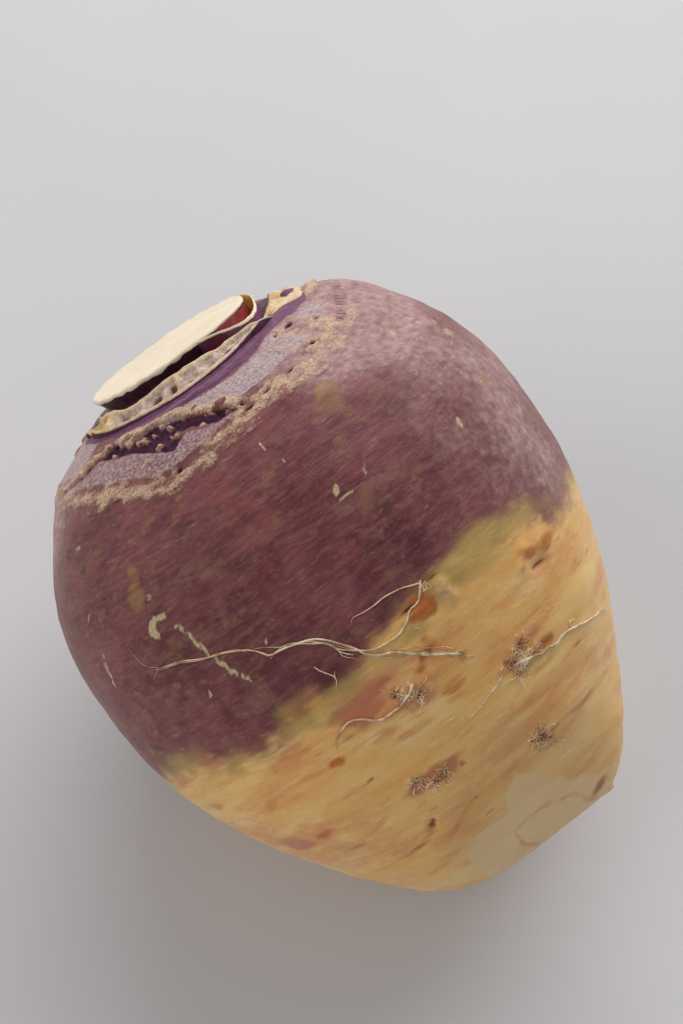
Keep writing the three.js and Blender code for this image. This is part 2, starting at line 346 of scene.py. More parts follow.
# Scars where side roots grew: station, angle, half length round the root, half length along it, depth.
SCARS = [
    (92, 22, 1.6, 1.5, 1.1), (94.8, 18.5, 1.6, 0.9, 0.8), (100.3, -6.5, 1.7, 1.2, 1.3),
    (103.2, -12.6, 2.2, 0.8, 1.0), (105.2, -5.5, 2.4, 1.1, 1.4), (102.4, -3.5, 2.2, 1.4, 0.8),
    (101.2, -2, 1.2, 0.9, 1.0), (121, -3, 2.2, 2.0, 1.1), (122.4, -6, 1.3, 0.9, 1.2),
    (120.4, 0, 1.0, 1.2, 0.9), (113.2, 25, 1.6, 0.9, 1.4), (113.6, 28, 1.2, 0.8, 1.1),
    (111.6, 31.4, 1.7, 1.8, 1.2), (79.2, 10.2, 3.0, 0.5, 1.2), (76.6, 3, 2.4, 0.8, 1.0),
    (98, 176, 2.6, 1.5, 1.1), (112, 186, 3.0, 1.5, 1.3), (124, 198, 2.4, 1.3, 1.1),
    (97, 203, 2.2, 1.4, 1.0), (105, -118, 2.6, 1.4, 1.0), (80, 190, 2.4, 1.0, 0.8),
]
# Smooth red-brown pits: station, angle, half length round the root, half length along it.
PITS = [(122.4, 38.2, 1.3, 1.5), (121.4, 36.6, 1.0, 0.8), (123.5, 22.6, 1.8, 0.7), (126.4, -10, 0.9, 0.6),
        (89, -21, 3.2, 0.9)]
LUMPS = [(79, 2.6, 2.4, 1.0), (82, 1.4, 1.8, 0.9), (84.5, -18, 1.8, 0.6), (87, -16, 1.6, 0.6),
         (86.6, -24, 2.6, 0.4), (6.0, -57, 2.6, 1.1), (92.5, 13, 1.1, 0.6), (95, 15.5, 1.0, 0.8),
         (90, 15, 1.4, 0.5), (144.5, -45, 1.8, 1.3), (80.6, 8, 1.6, 0.6), (78, -2, 2.4, 0.5)]
ROUGH_PATCHES = [(85.8, -22, 7, 2.6), (82, 4, 5, 2.8), (92, 17, 6, 3)]
PALE_LUMPS = [(80, 2.2, 2.6, 3.2), (94.8, 15.4, 1.6, 1.4)]
ORANGE_SPOTS = [(82, 8.4, 2.9, 1.6), (79.6, 6.6, 2.2, 1.6), (82.6, 6.4, 1.8, 1.4), (90.4, 14.8, 2.4, 1.6),
                (86, -19.5, 3.4, 2.0), (86.8, -25, 3.0, 1.5), (85.6, 11, 2.6, 1.8), (93.6, 36, 2.8, 0.8),
                (81, 8, 3.4, 2.4), (89, 12.6, 3.0, 1.6), (87.6, 10, 3, 1.6), (101.6, -8, 3.0, 1.4),
                (120.6, -6, 3.0, 1.4), (103, -14, 3.4, 1.2), (125, 46, 4, 0.8), (118.6, 34, 2.0, 0.6),
                (88.4, 12, 2.4, 1.4), (97, 41.6, 1.6, 1.1), (93, 43, 2.4, 0.35), (85.6, -25, 7.5, 2.2),
                (84.4, -18, 3.0, 1.8), (87.2, -16, 2.0, 1.4), (113.4, 19.6, 0.8, 0.8),
                (104.2, 39, 1.2, 0.5), (129.6, 22, 1.6, 0.5), (130.6, 17, 1.0, 0.4), (97.6, 11, 3.6, 1.6),
                (78, 8, 2.4, 1.2), (119.2, 29, 0.6, 0.5), (110, 62, 4.5, 2.0), (100, 150, 2.4, 1.2),
                (118, 170, 2.2, 1.0), (94, -60, 4, 1.4), (109, -24, 2.4, 0.8)]
PINK_SPOTS = [(89, 27, 7.5, 3.4), (93.6, 20, 12, 2.2), (96.4, 16, 9, 1.8), (107, -13, 7.5, 1.1),
              (119.4, 8, 5.2, 1.2), (120.8, -26, 14, 0.7), (107, -46, 6.5, 2.2), (98, 28, 6, 1.5),
              (89, -21, 4.6, 1.4), (122, 8, 3, 1.8), (109, 76, 7, 3.6), (117.4, 62, 9, 0.9),
              (103, -10, 9, 3.4), (121, -3, 5, 3.0), (112, 28, 7, 2.2), (92, 84, 7, 2),
              (100, 186, 12, 3.0), (112, 188, 10, 3.0), (124, 198, 8, 2.4), (105, -118, 9, 3.0)]
# Wide soft flushes of pink on the cream.
PINK_FLUSH = [(87.4, -21, 8, 3), (90, 22, 10, 5), (84, 14, 9, 5), (88, 25, 10, 5), (92, 35, 9, 3.5),
              (85, -20, 9, 3.4), (103, -8, 9, 3.4), (112, 28, 10, 3.4), (120, 0, 8, 3), (116, 60, 11, 3),
              (126, 55, 10, 3), (108, 76, 9, 4), (119, 78, 9, 4), (98, 62, 12, 2.4), (128, 70, 8, 4),
              (98, 185, 14, 5), (114, 190, 12, 5), (106, -118, 12, 5), (92, 120, 12, 4)]
GREEN_SPOTS = [(80.6, -49, 6, 3), (80, -34, 6, 1.6), (77, -15, 3, 2.6), (77.4, 12, 5, 1.8),
               (78.6, 19, 4, 1.6), (81, 43, 5, 3), (86, 42, 5, 3), (74, 38.4, 2.4, 2.6), (79, 65, 5, 3.4),
               (80, 73, 5, 4), (86.4, 62, 3.4, 2.4), (76, 79, 5, 4), (71, 85, 6, 5), (88.4, 34, 4, 1.6),
               (62, 39, 2, 1.6), (72, 24, 3, 1.6), (57, 100, 7, 4), (84, 12, 4, 1.4), (82, 150, 10, 4),
               (84, 215, 10, 4), (82, -110, 12, 4), (67, 70, 3, 2.4)]
OLIVE_SPOTS = [(22, -8, 4.2, 4.0), (26, -5, 5.0, 3.6), (33, 53.4, 1.9, 5.0), (40, 54, 3.4, 4.6),
               (22, 36, 2.2, 2.0), (48, -38.4, 2.2, 5.4), (77.4, 9, 2.0, 1.0), (60, 175, 4, 7),
               (40, 240, 4.5, 8)]
# Sides painted lighter mauve as sheen where the window light glances off the skin.
PAINTED_SHEEN_SIDES = [(-38, 34, 1), (98, 22, 0.6)]  # angle, half width in degrees, strength
RED_STREAKS = [[(24, 26), (35, 28), (45, 26), (55, 27.4), (64, 28.6)], [(24, 65), (32, 67)],
               [(60, 12.4), (64, 13)], [(30, 24), (42, 22), (50, 23)]]
# Holes sunk into the crown, painted near-black as shade in them.
DARK_HOLES = [(7.6, -29.4, 1.7, 0.9), (10.2, -33, 1.2, 0.8), (12.5, -20, 1.1, 0.9), (9, -38, 0.5, 0.4),
              (7.2, -21.6, 0.9, 0.4), (13.4, -7, 1.2, 0.5), (13.4, 2, 1.6, 0.5), (13.8, 9, 1.4, 0.5),
              (16.4, 34, 0.8, 0.8)]
DISC_SCAR = (9.0, -40, 7.5, 5.0)
STRIP_EAR = (6.0, -57, 3.4, 2.6)  # dark skin under the flap
LADDER_TOP = [(-36, 7), (-24, 6.6), (-12, 6.6)]
LADDER_FOOT = [(-36, 14), (-24, 14), (-12, 13)]
LADDER_BARS = 164  # bars of the ladder scar, in radians of wave for each radian round the root
# The pared patch at the root's end: its near edge as (angle, station), and then the brown ring and the
# brown nub on it as (station, angle).
PARED_EDGE = [(-180, 150), (-70, 148), (-45, 144), (-34, 141.2), (-20, 136.5), (-6, 131.2), (4, 126),
              (9, 123.6), (14, 126), (18, 130.6), (28, 131.2), (40, 133), (46, 141), (60, 147), (90, 150),
              (180, 150)]
END_RING = [(145.4, -34), (144.8, -30), (139.6, -15), (137, -2), (136.1, 11), (137.8, 21), (142.5, 21.5),
            (146, 13)]
END_NUB = (143, -33)


class Skin:
    """The places of a mesh's vertices on the unbent root, and distances over it."""

    def __init__(self, station, angle, radius):
        self.station = station
        self.angle = turn(angle)
        self.radius = radius
        self.run = run_at(station)
        self.points = unbent(station, angle, radius)

    def from_spot(self, station, angle):
        """Distances along and round the root from a spot."""
        along = self.run - run_at(station)
        around = np.radians(turn(self.angle - angle)) * self.radius
        return along, around

    def spot(self, station, angle, half_round, half_along=None, ragged=0):
        """1 at a spot, 0 past its rim, with soft sides."""
        along, around = self.from_spot(station, angle)
        away = np.hypot(around / half_round, along / (half_along or half_round)) + ragged
        return 1 - ramp(away, 0.3, 1.3)

    def spots(self, spots, ragged=0):
        return sum(self.spot(*spot, ragged=ragged) for spot in spots)

    def line(self, line):
        """Distance from a line of places, and how far along the line, 0 to 1."""
        best = np.full(len(self.station), 1e9)
        share = np.zeros(len(self.station))
        for k, ((s0, a0), (s1, a1)) in enumerate(zip(line, line[1:])):
            x, y = self.from_spot(s0, a0)
            dx = run_at(s1) - run_at(s0)
            dy = math.radians(a1 - a0) * self.radius
            t = np.clip((x * dx + y * dy) / (dx * dx + dy * dy + 1e-9), 0, 1)
            away = np.hypot(x - t * dx, y - t * dy)
            nearer = away < best
            best = np.where(nearer, away, best)
            share = np.where(nearer, (k + t) / (len(line) - 1), share)
        return best, share

    def band(self, line, half, blur, ragged=0):
        """1 within `half` of a line, 0 past half + blur, fading out at the line's two ends."""
        away, share = self.line(line)
        ends = ramp(share, 0, 0.08) * (1 - ramp(share, 0.92, 1))
        return (1 - ramp(away + ragged, half, half + blur)) * ends

    def bands(self, lines, half, blur, ragged=0):
        return sum(self.band(line, half, blur, ragged) for line in lines)

    def zone(self, top, foot, blur, ragged=0):
        """1 between two edges that cross the root, each a list of (angle, station)."""
        below_top = self.run - run_at(read(top, self.angle)) + ragged
        above_foot = run_at(read(foot, self.angle)) - self.run + ragged
        sides = ramp(below_top, -blur, blur) * ramp(above_foot, -blur, blur)
        first, last = top[0][0], top[-1][0]
        if last - first > 359:
            return sides
        return sides * ramp(self.angle, first, first + 2) * (1 - ramp(self.angle, last - 2, last))


# ---------------------------------------------------------------- the swollen root
ROUND_STEPS = 352
FINER_FRONT = 0.33  # how much closer the vertices stand on the front side than on average
CROWN_FACE = -0.5  # station of the drawn crown face
END_FACE = 152
# Stretches of the skin: first and last station, and the gap between its rings of vertices.
SKIN_STRETCHES = [(0, 24, 0.46), (23.5, 74, 0.95), (73.5, 150, 0.86)]


def root_profile():
    profile = [*((r, CROWN_FACE) for r in np.linspace(0, 19.6, 15)), *NECK]
    at = OUTLINE[:, 1]
    for k, (first, last, gap) in enumerate(SKIN_STRETCHES):
        stretch = spaced(OUTLINE[(at >= first) & (at <= last)], gap)
        profile.extend(stretch[min(k, 1):])  # a later stretch leaves out the point that it shares
    return [*profile, *((r, END_FACE) for r in np.linspace(12.6, 0, 10))]


def press_flat(points, limit, direction, softness):
    """Presses whatever lies past a plane back onto it; the edge is rounded by `softness` mm."""
    past = points @ direction - limit
    rounded = np.where(past > -softness, (past + softness) ** 2 / (4 * softness), 0)
    pressed = np.where(past > softness, past, rounded)
    return points - pressed[:, None] * direction


def cut_direction(cut):
    """The outward side of a knife cut, in unbent coordinates (station, towards 0, towards 90)."""
    station, tilt, towards = cut
    t = math.radians(tilt)
    b = math.radians(towards)
    direction = np.array([math.cos(t), math.sin(t) * math.cos(b), math.sin(t) * math.sin(b)])
    return direction, station * direction[0]


def crown_relief(skin):
    """Heights of the corky ring, fissures and scars round the crown, with their colours."""
    p = skin.points
    coarse = rough(p, 2.6, 3, 11)
    fine = rough(p, 1.0, 2, 17)
    crumbly = rough(p * (1, 0.5, 0.5), 1.1, 3, 21)
    wobble = grain(p, 7, 23)
    ring = skin.zone(CORK_TOP, CORK_FOOT, 1.5, 1.5 * coarse)
    front = 1 - 0.45 * ramp(-skin.angle, 30, 50) * (1 - ramp(-skin.angle, 100, 140))
    ring = ring * front
    fissure = skin.zone(FISSURE_TOP, FISSURE_FOOT, 0.45, 0.45 * coarse)
    crust = skin.band(CRUST_LINE, 0.7, 0.8, 0.6 * coarse) + skin.band(LEFT_CRUST, 0.5, 0.6, 0.5 * coarse)
    crust = crust + skin.spots(CRUMBS, 0.25 * coarse)
    crust = crust + fissure * ramp(rough(p, 2.0, 3, 27), 0.35, 0.7)
    crust = np.clip(crust + skin.band(FLAP_CRUST, 1.0, 0.9, 0.5 * coarse), 0, 1)
    strip = 1 - ramp(skin.run - run_at(read(STRIP_FOOT, skin.angle)) + 0.3 * coarse, -0.5, 0.5)
    strip = strip * ramp(skin.angle, -92, -84) * (1 - ramp(skin.angle, 108, 114))
    strip = strip * ramp(skin.station, 3.9, 4.3)
    strip = np.maximum(strip, skin.spot(*STRIP_EAR))
    net = skin.zone(NET_TOP, NET_FOOT, 0.8, 0.6 * coarse)
    lilac = skin.zone(LILAC_TOP, LILAC_FOOT, 0.8, 0.6 * coarse)
    left = skin.zone(LEFT_PATCH_TOP, LEFT_PATCH_FOOT, 0.8, 0.4 * coarse)
    disc = skin.spot(*DISC_SCAR, ragged=0.15 * coarse)
    holes = np.clip(skin.spots(DARK_HOLES, 0.2 * coarse), 0, 1)
    ladder = skin.band(LADDER, 1.1, 0.5)
    bars = ladder * ramp(np.sin(np.radians(skin.angle) * LADDER_BARS), -0.2, 0.4)
    beside_ladder = skin.zone(LADDER_TOP, LADDER_FOOT, 1, 0.8 * coarse)
    hidden_cut = ramp(coarse, -0.9, 0.7) * skin.bands(HIDDEN_SCARS, 0.7, 0.9)
    hidden = [skin.line(line) for line in HIDDEN_SCARS]
    hidden_lip = sum((1 - ramp(np.abs(away - 1.8 + 1.0 * coarse), 0.3, 1.4)) * ramp(share, 0, 0.1)
                     * (1 - ramp(share, 0.9, 1)) for away, share in hidden)
    crumbs = ramp(crumbly, -0.6, 0.5)
    cork = ring * (0.45 + 0.5 * crumbs) + 0.85 * beside_ladder * crumbs
    cork = np.clip(cork + crust * (coarse > -0.7) + 0.75 * hidden_lip * crumbs, 0, 1) * (1 - strip)
    height = 0.25 * ring + 0.8 * crust * (1 - strip) + 0.6 * hidden_lip + 0.3 * beside_ladder
    height = height + cork * (0.18 * coarse + 0.24 * crumbly)
    height = height - 1.4 * fissure * (1 - crust) - 1.2 * hidden_cut
    height = height + 0.55 * strip * ramp(skin.station, 5, 6) - 0.35 * disc - 1.1 * holes * (1 - strip)
    height = height - 0.35 * bars + 0.10 * net * fine + 0.2 * lilac + 0.3 * left
    height = height + 0.4 * wobble * (1 - ramp(skin.station, 14, 24)) * ramp(skin.station, 4, 7)
    pale = net + 0.75 * disc + 0.6 * lilac * (1 - fissure) + 0.8 * left
    return height, {
        "cork": cork,
        "net": np.clip(pale * (1 - strip) * (1 - 0.7 * crust), 0, 1),
        # Near-black purple painted as shade in the sunken fissure, holes, hidden cuts and ladder gaps.
        "dark": np.clip(fissure * (1 - crust) + 0.65 * hidden_cut + holes + 0.7 * bars, 0, 1),
        "strip": strip,
    }


def scar_relief(skin):
    """Heights and colours of the side-root scars, pits, lumps and stains."""
    p = skin.points
    coarse = rough(p, 2.2, 3, 41)
    streaky = rough(p * (1, 0.4, 0.4), 4, 3, 47)
    pit = 0
    height = 0
    for station, angle, half_round, half_along, depth in SCARS:
        hollow = skin.spot(station, angle, half_round, half_along, 0.3 * coarse)
        rim = skin.spot(station, angle, half_round * 1.7, half_along * 1.8, 0.3 * coarse) - hollow
        pit = np.maximum(pit, hollow * (0.8 + 0.4 * coarse))
        height = height - depth * hollow * (0.9 + 0.6 * coarse) + 0.3 * rim * (1 + coarse)
    smooth_pit = 0
    for station, angle, half_round, half_along in PITS:
        hollow = skin.spot(station, angle, half_round, half_along)
        smooth_pit = np.maximum(smooth_pit, hollow)
        height = height - 0.9 * hollow
    for *lump, rise in LUMPS:
        height = height + rise * skin.spot(*lump, ragged=0.2 * coarse) * (1 + 0.25 * coarse)
    crease_colour = 0
    for line, depth, half in CREASES:
        away, share = skin.line(line)
        ends = ramp(share, 0, 0.2) * (1 - ramp(share, 0.8, 1))
        height = height - depth * (1 - ramp(away, 0.1, half)) * ends
        stained = 1 - ramp(away + 0.8 * streaky, 0.1, half * 2.6)
        crease_colour = np.maximum(crease_colour, 0.5 * stained * ends)
    patchy = np.clip(0.7 + 0.9 * rough(p * (1, 0.3, 0.3), 3.2, 3, 49), 0, 1.2)
    orange = (0.6 + 0.5 * patchy) * skin.spots(ORANGE_SPOTS, 0.5 * streaky)
    pink = patchy * skin.spots(PINK_SPOTS, 0.6 * streaky)
    pink = pink + 0.55 * patchy * skin.spots(PINK_FLUSH, 0.4 * streaky)
    textured = skin.spots(ROUGH_PATCHES)
    height = height + 0.3 * np.clip(textured, 0, 1) * coarse
    return height, {
        "pit": np.clip(pit + 0.6 * smooth_pit, 0, 1),
        "rust": np.clip(0.9 * orange + crease_colour, 0, 1),
        "pink": np.clip(0.75 * pink + 0.5 * crease_colour, 0, 1),
        "magenta": np.clip(smooth_pit, 0, 1),
        "pale_lump": skin.spots(PALE_LUMPS),
    }


def humps(table, angle):
    """Rounded humps round the root, each told as (angle, half width in degrees, height)."""
    return sum(height * np.exp(-(turn(angle - at) / half) ** 2) for at, half, height in table)


def skin_marks(skin):
    """The purple cap's edge and the marks on it."""
    p = skin.points
    streaky = rough(p * (1, 0.35, 0.35), 7, 3, 61)
    blotchy = rough(p, 5, 3, 63)
    end = read(PURPLE_END, skin.angle)
    purple = 1 - ramp(skin.station + 2.2 * streaky + 1.4 * blotchy, end - 7.5, end + 4.5)
    near_edge = np.exp(-((skin.station - end - 0.8 + 2.5 * streaky) / 6) ** 2)
    green = 0.72 * near_edge * (1 + streaky) + 0.4 * skin.spots(GREEN_SPOTS, 0.5 * blotchy)
    ragged = rough(p, 2.0, 3, 67)
    scribble = skin.band(SCRIBBLE, 0.45, 0.7, 0.3 * ragged)
    scribble = scribble + skin.band(SCRIBBLE_TAIL, 0.12, 0.6, 0.35 * ragged)
    scratches = skin.bands(SCRATCHES, 0.1, 0.4, 0.15 * ragged)
    # Lighter mauve: the random part is the skin's own waxy bloom; the rest is painted sheen on the sides
    # that face the window light and near the crown.
    painted_sheen_side = humps(PAINTED_SHEEN_SIDES, skin.angle)
    near_crown = 1 - ramp(skin.station, 14, 34)
    bloom_and_sheen = 0.75 * painted_sheen_side + 0.25 * rough(p, 16, 3, 71) + near_crown * (0.35 + 0.6 * painted_sheen_side)
    return {
        "purple": purple,
        "green": green,
        "scribble": scribble + 0.75 * scratches + 0.6 * skin.spots(FLECKS, 0.35 * ragged),
        "red": skin.bands(RED_STREAKS, 1.0, 1.8, 0.8 * blotchy),
        "olive": skin.spots(OLIVE_SPOTS, 0.4 * blotchy),
        "bloom_and_sheen": bloom_and_sheen * purple,
    }


def laid(obj, station, angle, radius, layers):
    """Lays a turned piece in its place on the root, above the resting plane, and paints its layers."""
    points = placed(station, angle, radius)
    points[:, 2] = np.maximum(points[:, 2], 0)
    set_points(obj, points)
    for name, values in layers.items():
        paint(obj, name, values)
    paint_place(obj, station, angle, radius)
    outward(obj)
    return obj


def crown_shift(angle, radius):
    """How far the tilted crown cut moves a place on the drawn face along the axis."""
    rise, tilt, towards = CROWN_CUT
    return rise + math.tan(math.radians(tilt)) * radius * np.cos(np.radians(angle - towards))


def oval_share(angle):
    """How far the oval neck reaches at an angle, as a share of its half length."""
    a = np.radians(angle - BEND_ANGLE)
    return 1 / np.hypot(np.cos(a) / NECK_FLATNESS, np.sin(a))


def as_neck(station, angle, radius):
    """Gives the round-drawn neck its oval section, its place and its tilted crown face."""
    neck = 1 - ramp(station, 3.3, 4.2) * ramp(radius, 19, 24)
    oval = radius * (1 - neck * (1 - oval_share(angle)))
    a = np.radians(angle)
    b = math.radians(BEND_ANGLE)
    up = oval * np.cos(a) + neck * NECK_SHIFT * math.cos(b)
    front = oval * np.sin(a) + neck * NECK_SHIFT * math.sin(b)
    moved = np.hypot(up, front)
    turned_to = np.degrees(np.arctan2(front, up))
    return station + crown_shift(turned_to, moved) * (1 - ramp(station, 0.6, 3.2)), turned_to, moved


def make_root():
    obj = turned("rutabaga_root", root_profile(), ROUND_STEPS)
    station, angle, radius = places_of(obj)
    angle = angle - np.degrees(FINER_FRONT * np.sin(np.radians(angle - BEND_ANGLE)))
    facing = normals_of(obj)
    spread = np.hypot(facing[:, 0], facing[:, 1])
    skin = Skin(station, angle, np.maximum(radius, 1))
    on_skin = ramp(station, 3.6, 5.5)
    on_neck = (1 - ramp(station, 4, 5)) * ramp(station, -0.2, 0.6)
    crown_height, crown_colours = crown_relief(skin)
    scar_height, scar_colours = scar_relief(skin)
    body = 0.55 * rough(skin.points, 30, 2, 5) + 0.16 * rough(skin.points, 7, 2, 7)
    wrinkles = 0.16 * grain(skin.points * (1, 0.12, 0.12), 3.2, 9)
    height = on_skin * (crown_height + scar_height + body + wrinkles + swelling(station, angle))
    height = height + on_neck * 0.25 * rough(skin.points, 3.5, 2, 13)
    cut_ridges = 0.10 * np.sin(skin.points[:, 1] * 1.6 + 1.5 * grain(skin.points, 12, 3))
    on_cut = 1 - ramp(station, -0.45, -0.3)
    height = height + on_cut * (cut_ridges + 0.12 * rough(skin.points, 5, 2, 19))
    radius = np.maximum(radius + height * spread, 0)
    station = station + height * facing[:, 2]
    flat = unbent(*as_neck(station, angle, radius))
    ripple = 0.22 * rough(flat, 9, 2, 83)
    for cut, unevenness, softness in ((TRIM_CUT, 1, 3.0), (END_CUT, 0.5, 0.8)):
        side, limit = cut_direction(cut)
        flat = press_flat(flat, limit + unevenness * ripple, side, softness)
    station = flat[:, 0]
    radius = np.hypot(flat[:, 1], flat[:, 2])
    angle = np.degrees(np.arctan2(flat[:, 2], flat[:, 1]))
    colours = {**crown_colours, **scar_colours, **skin_marks(skin)}
    flat_angle = turn(angle)
    pared = ramp(station - read(PARED_EDGE, flat_angle) + 1.2 * rough(flat, 4, 2, 85), -0.8, 0.8)
    ring = 0 * station
    for (s0, a0), (s1, a1) in zip(END_RING, END_RING[1:]):
        for t in np.linspace(0, 1, 9):
            x = station - (s0 + t * (s1 - s0))
            y = np.radians(flat_angle - (a0 + t * (a1 - a0))) * radius
            ring = np.maximum(ring, np.exp(-(np.hypot(x, y) + 0.3 * rough(flat, 2, 2, 87)) ** 2))
    nub = np.exp(-((station - END_NUB[0]) ** 2 + (np.radians(flat_angle - END_NUB[1]) * radius) ** 2) / 4)
    colours["rust"] = np.maximum(colours["rust"] * (1 - pared), np.maximum(0.6 * ring, nub))
    colours["pink"] = np.maximum(colours["pink"] * (1 - 0.8 * pared), nub)
    cream_edge = 1 - ramp(skin.station + 0.25 * rough(skin.points, 2.5, 2, 15), 0.1, 0.7)
    colours["flesh"] = cream_edge
    colours["trim"] = pared
    # The neck wall under the crown cut is painted near-black purple: painted shade.
    colours["neck"] = (1 - ramp(skin.station, 4.0, 4.4)) * (1 - cream_edge)
    return laid(obj, station, angle, radius, colours)


# ---------------------------------------------------------------- leaf bases and the cut stalk
def clasping_strip(name, reach, steps, section, inner, width):
    """Turns a closed section of (share of its width outwards, depth) part of the way round the neck. Gives
    the piece, and the share, depth, angle and point of each vertex."""
    start, stop = reach
    drawn = [(inner + width * share, depth) for share, depth in section + section[:1]]
    obj = turned(name, drawn, steps, start, stop - start, closed=True)
    depth, angle, radius = places_of(obj)
    angle = turn(angle)
    return obj, (radius - inner) / width, depth, angle, unbent(depth, angle, radius)


FRONT_BASE = (-42, 118)
# The cup's section as (share of the way out from the inner rim to the outer rim, depth below the rims).
FRONT_SECTION = [(-0.12, 6.5), (-0.13, 4.5), (-0.1, 3.0), (-0.06, 1.6), (-0.03, 0.6), (0, 0.08),
                 (0.04, 0), (0.08, 0.1), (0.11, 0.5), (0.16, 0.8), (0.24, 0.95), (0.34, 1.0),
                 (0.45, 0.95), (0.56, 0.85), (0.66, 0.65), (0.75, 0.42), (0.83, 0.25), (0.88, 0.1),
                 (0.92, 0.02), (0.97, 0), (1.01, 0.12), (1.05, 0.5), (1.08, 1.2), (1.06, 3.0), (0.5, 4.5)]
INNER_RIM = [(-42, 3.7), (-34, 3.1), (-28, 2.8), (-20, 2.6), (-10, 2.3), (-5, 2.0), (0, 1.4), (5, 1.1),
             (15, 0.9), (22, 0.95), (30, 0.85), (40, 1.4), (50, 1.7), (60, 1.9), (65, 1.6), (70, 1.0),
             (78, 0.9), (90, 1.5), (100, 2.2), (118, 3.4)]
OUTER_RIM = [(-42, 3.5), (-34, 3.2), (-28, 3.4), (-20, 3.9), (-10, 4.4), (0, 4.55), (10, 4.6), (20, 4.65),
             (30, 4.45), (40, 4.3), (50, 4.1), (60, 3.9), (70, 3.8), (80, 3.4), (100, 3.6), (118, 4.2)]
INNER_RADIUS = [(-42, 26.8), (-34, 26.4), (-27, 25.4), (-20, 23.6), (-14, 22.5), (-8, 22.2), (118, 22.2)]
OUTER_RADIUS = [(-42, 28.2), (-34, 28.2), (-27, 27.6), (-20, 26.8), (-12, 26.3), (118, 26.2)]
# Ridges and hollows across the cup: angle, half width in degrees, height in mm.
FRONT_RIDGES = [(31.5, 2.0, 1.2), (23, 2.2, 1.2), (73, 4.5, 1.2), (-1, 2.4, 0.7), (11, 2.0, 0.7),
                (47, 3.0, 0.7)]
FRONT_HOLLOWS = [(38, 3.4, 1.6), (27, 2.0, 1.8), (17, 3.4, 0.9), (4, 3.4, 0.8), (62, 3.0, 1.0),
                 (88, 7.0, 1.6), (-8, 3.0, 0.6), (-22, 4, 0.6), (54, 4, 0.5)]
OUTER_LIFT = 0.35  # how far the cup's outer rim is raised off the skin
CUP_FOOT = 6.2  # station that the cup's two ends run down to


def make_front_base():
    obj, out, depth, angle, p = clasping_strip("leaf_base_cup", FRONT_BASE, 330, FRONT_SECTION, 22, 5)
    rims = depth < 2
    inner_rim = np.exp(-((out - 0.04) / 0.09) ** 2) * rims
    outer_rim = np.exp(-((out - 0.95) / 0.07) ** 2) * rims
    dish = ramp(out, 0.1, 0.3) * (1 - ramp(out, 0.7, 0.88)) * rims
    across = ramp(out, 0.02, 0.16) * (1 - ramp(out, 0.8, 0.95)) * rims
    inner = read(INNER_RIM, angle)
    outer = read(OUTER_RIM, angle) - OUTER_LIFT
    coarse = rough(p, 2.4, 3, 101)
    hollow = humps(FRONT_HOLLOWS, angle)
    ridge = humps(FRONT_RIDGES, angle) * (1 + 0.5 * coarse)
    station = inner + (outer - inner) * np.clip(out, 0, 1) + depth
    station = station + dish * (0.7 * hollow + 0.32 * coarse) - across * 0.8 * ridge
    station = station - inner_rim * (0.22 * grain(p, 7, 103) + 0.15 * grain(p, 1.5, 105))
    station = station + outer_rim * (0.15 * grain(p, 6, 107) + 0.12 * grain(p, 1.3, 109))
    inside = read(INNER_RADIUS, angle)
    radius = inside + (read(OUTER_RADIUS, angle) - inside) * out
    radius = radius + (1 - outer_rim) * 0.35 * grain(p * (0.3, 1, 1), 9, 111) + 0.1 * grain(p, 1.6, 113)
    curl = ramp(angle, 80, 92) * rims
    radius = radius + curl * 0.7 * grain(p, 3.5, 115)
    station = station + curl * 0.8 * grain(p, 3, 117)
    start, stop = FRONT_BASE
    along = (angle - start) / (stop - start)
    fade = ramp(along, 0, 0.1) * (1 - ramp(along, 0.9, 1))
    station = CUP_FOOT + (station - CUP_FOOT) * (0.3 + 0.7 * fade)
    return laid(obj, station, angle, radius, {
        "rim": inner_rim + outer_rim + 0.55 * np.clip(ridge, 0, 1) * across,
        # Brown painted shade in the sunken hollows of the cup.
        "hollow": dish * (0.75 * hollow + 0.3 * coarse),
        "shade": (1 - ramp(out, -0.07, -0.01)) + ramp(out, 1.02, 1.06) + (depth > 2.5),
        "ochre": ramp(angle, 62, 74),
    })


STALK = (-80, -4)
# The stub's section as (share of the way out from the neck to its outer wall, depth below the rim).
STALK_SECTION = [(0, 6.0), (0, 0.6), (0.01, 0.1), (0.03, 0), (0.06, 0), (0.08, 0.15), (0.09, 0.8), (0.1, 2),
                 (0.13, 3.2), (0.22, 4.2), (0.4, 4.5), (0.6, 4.3), (0.76, 3.6), (0.86, 2.6), (0.9, 1.4),
                 (0.91, 0.5), (0.92, 0.1), (0.94, 0), (0.98, 0), (1, 0.15), (1.01, 0.8), (1.02, 2),
                 (1.04, 3.4), (1.06, 4.8), (1.04, 6), (0.5, 6.2)]
STALK_WIDTH = [(-80, 0.5), (-74, 0.9), (-66, 1.6), (-58, 2.5), (-50, 3.7), (-42, 5.2), (-34, 6.5),
               (-27, 6.3), (-21, 4.6), (-16, 2.8), (-11, 1.5), (-4, 0.5)]
STALK_DROP = 0.36  # how far the rim falls for each millimetre outwards
STALK_SINK = 0.5  # how far the stub reaches into the neck, and how far it stands above the crown face


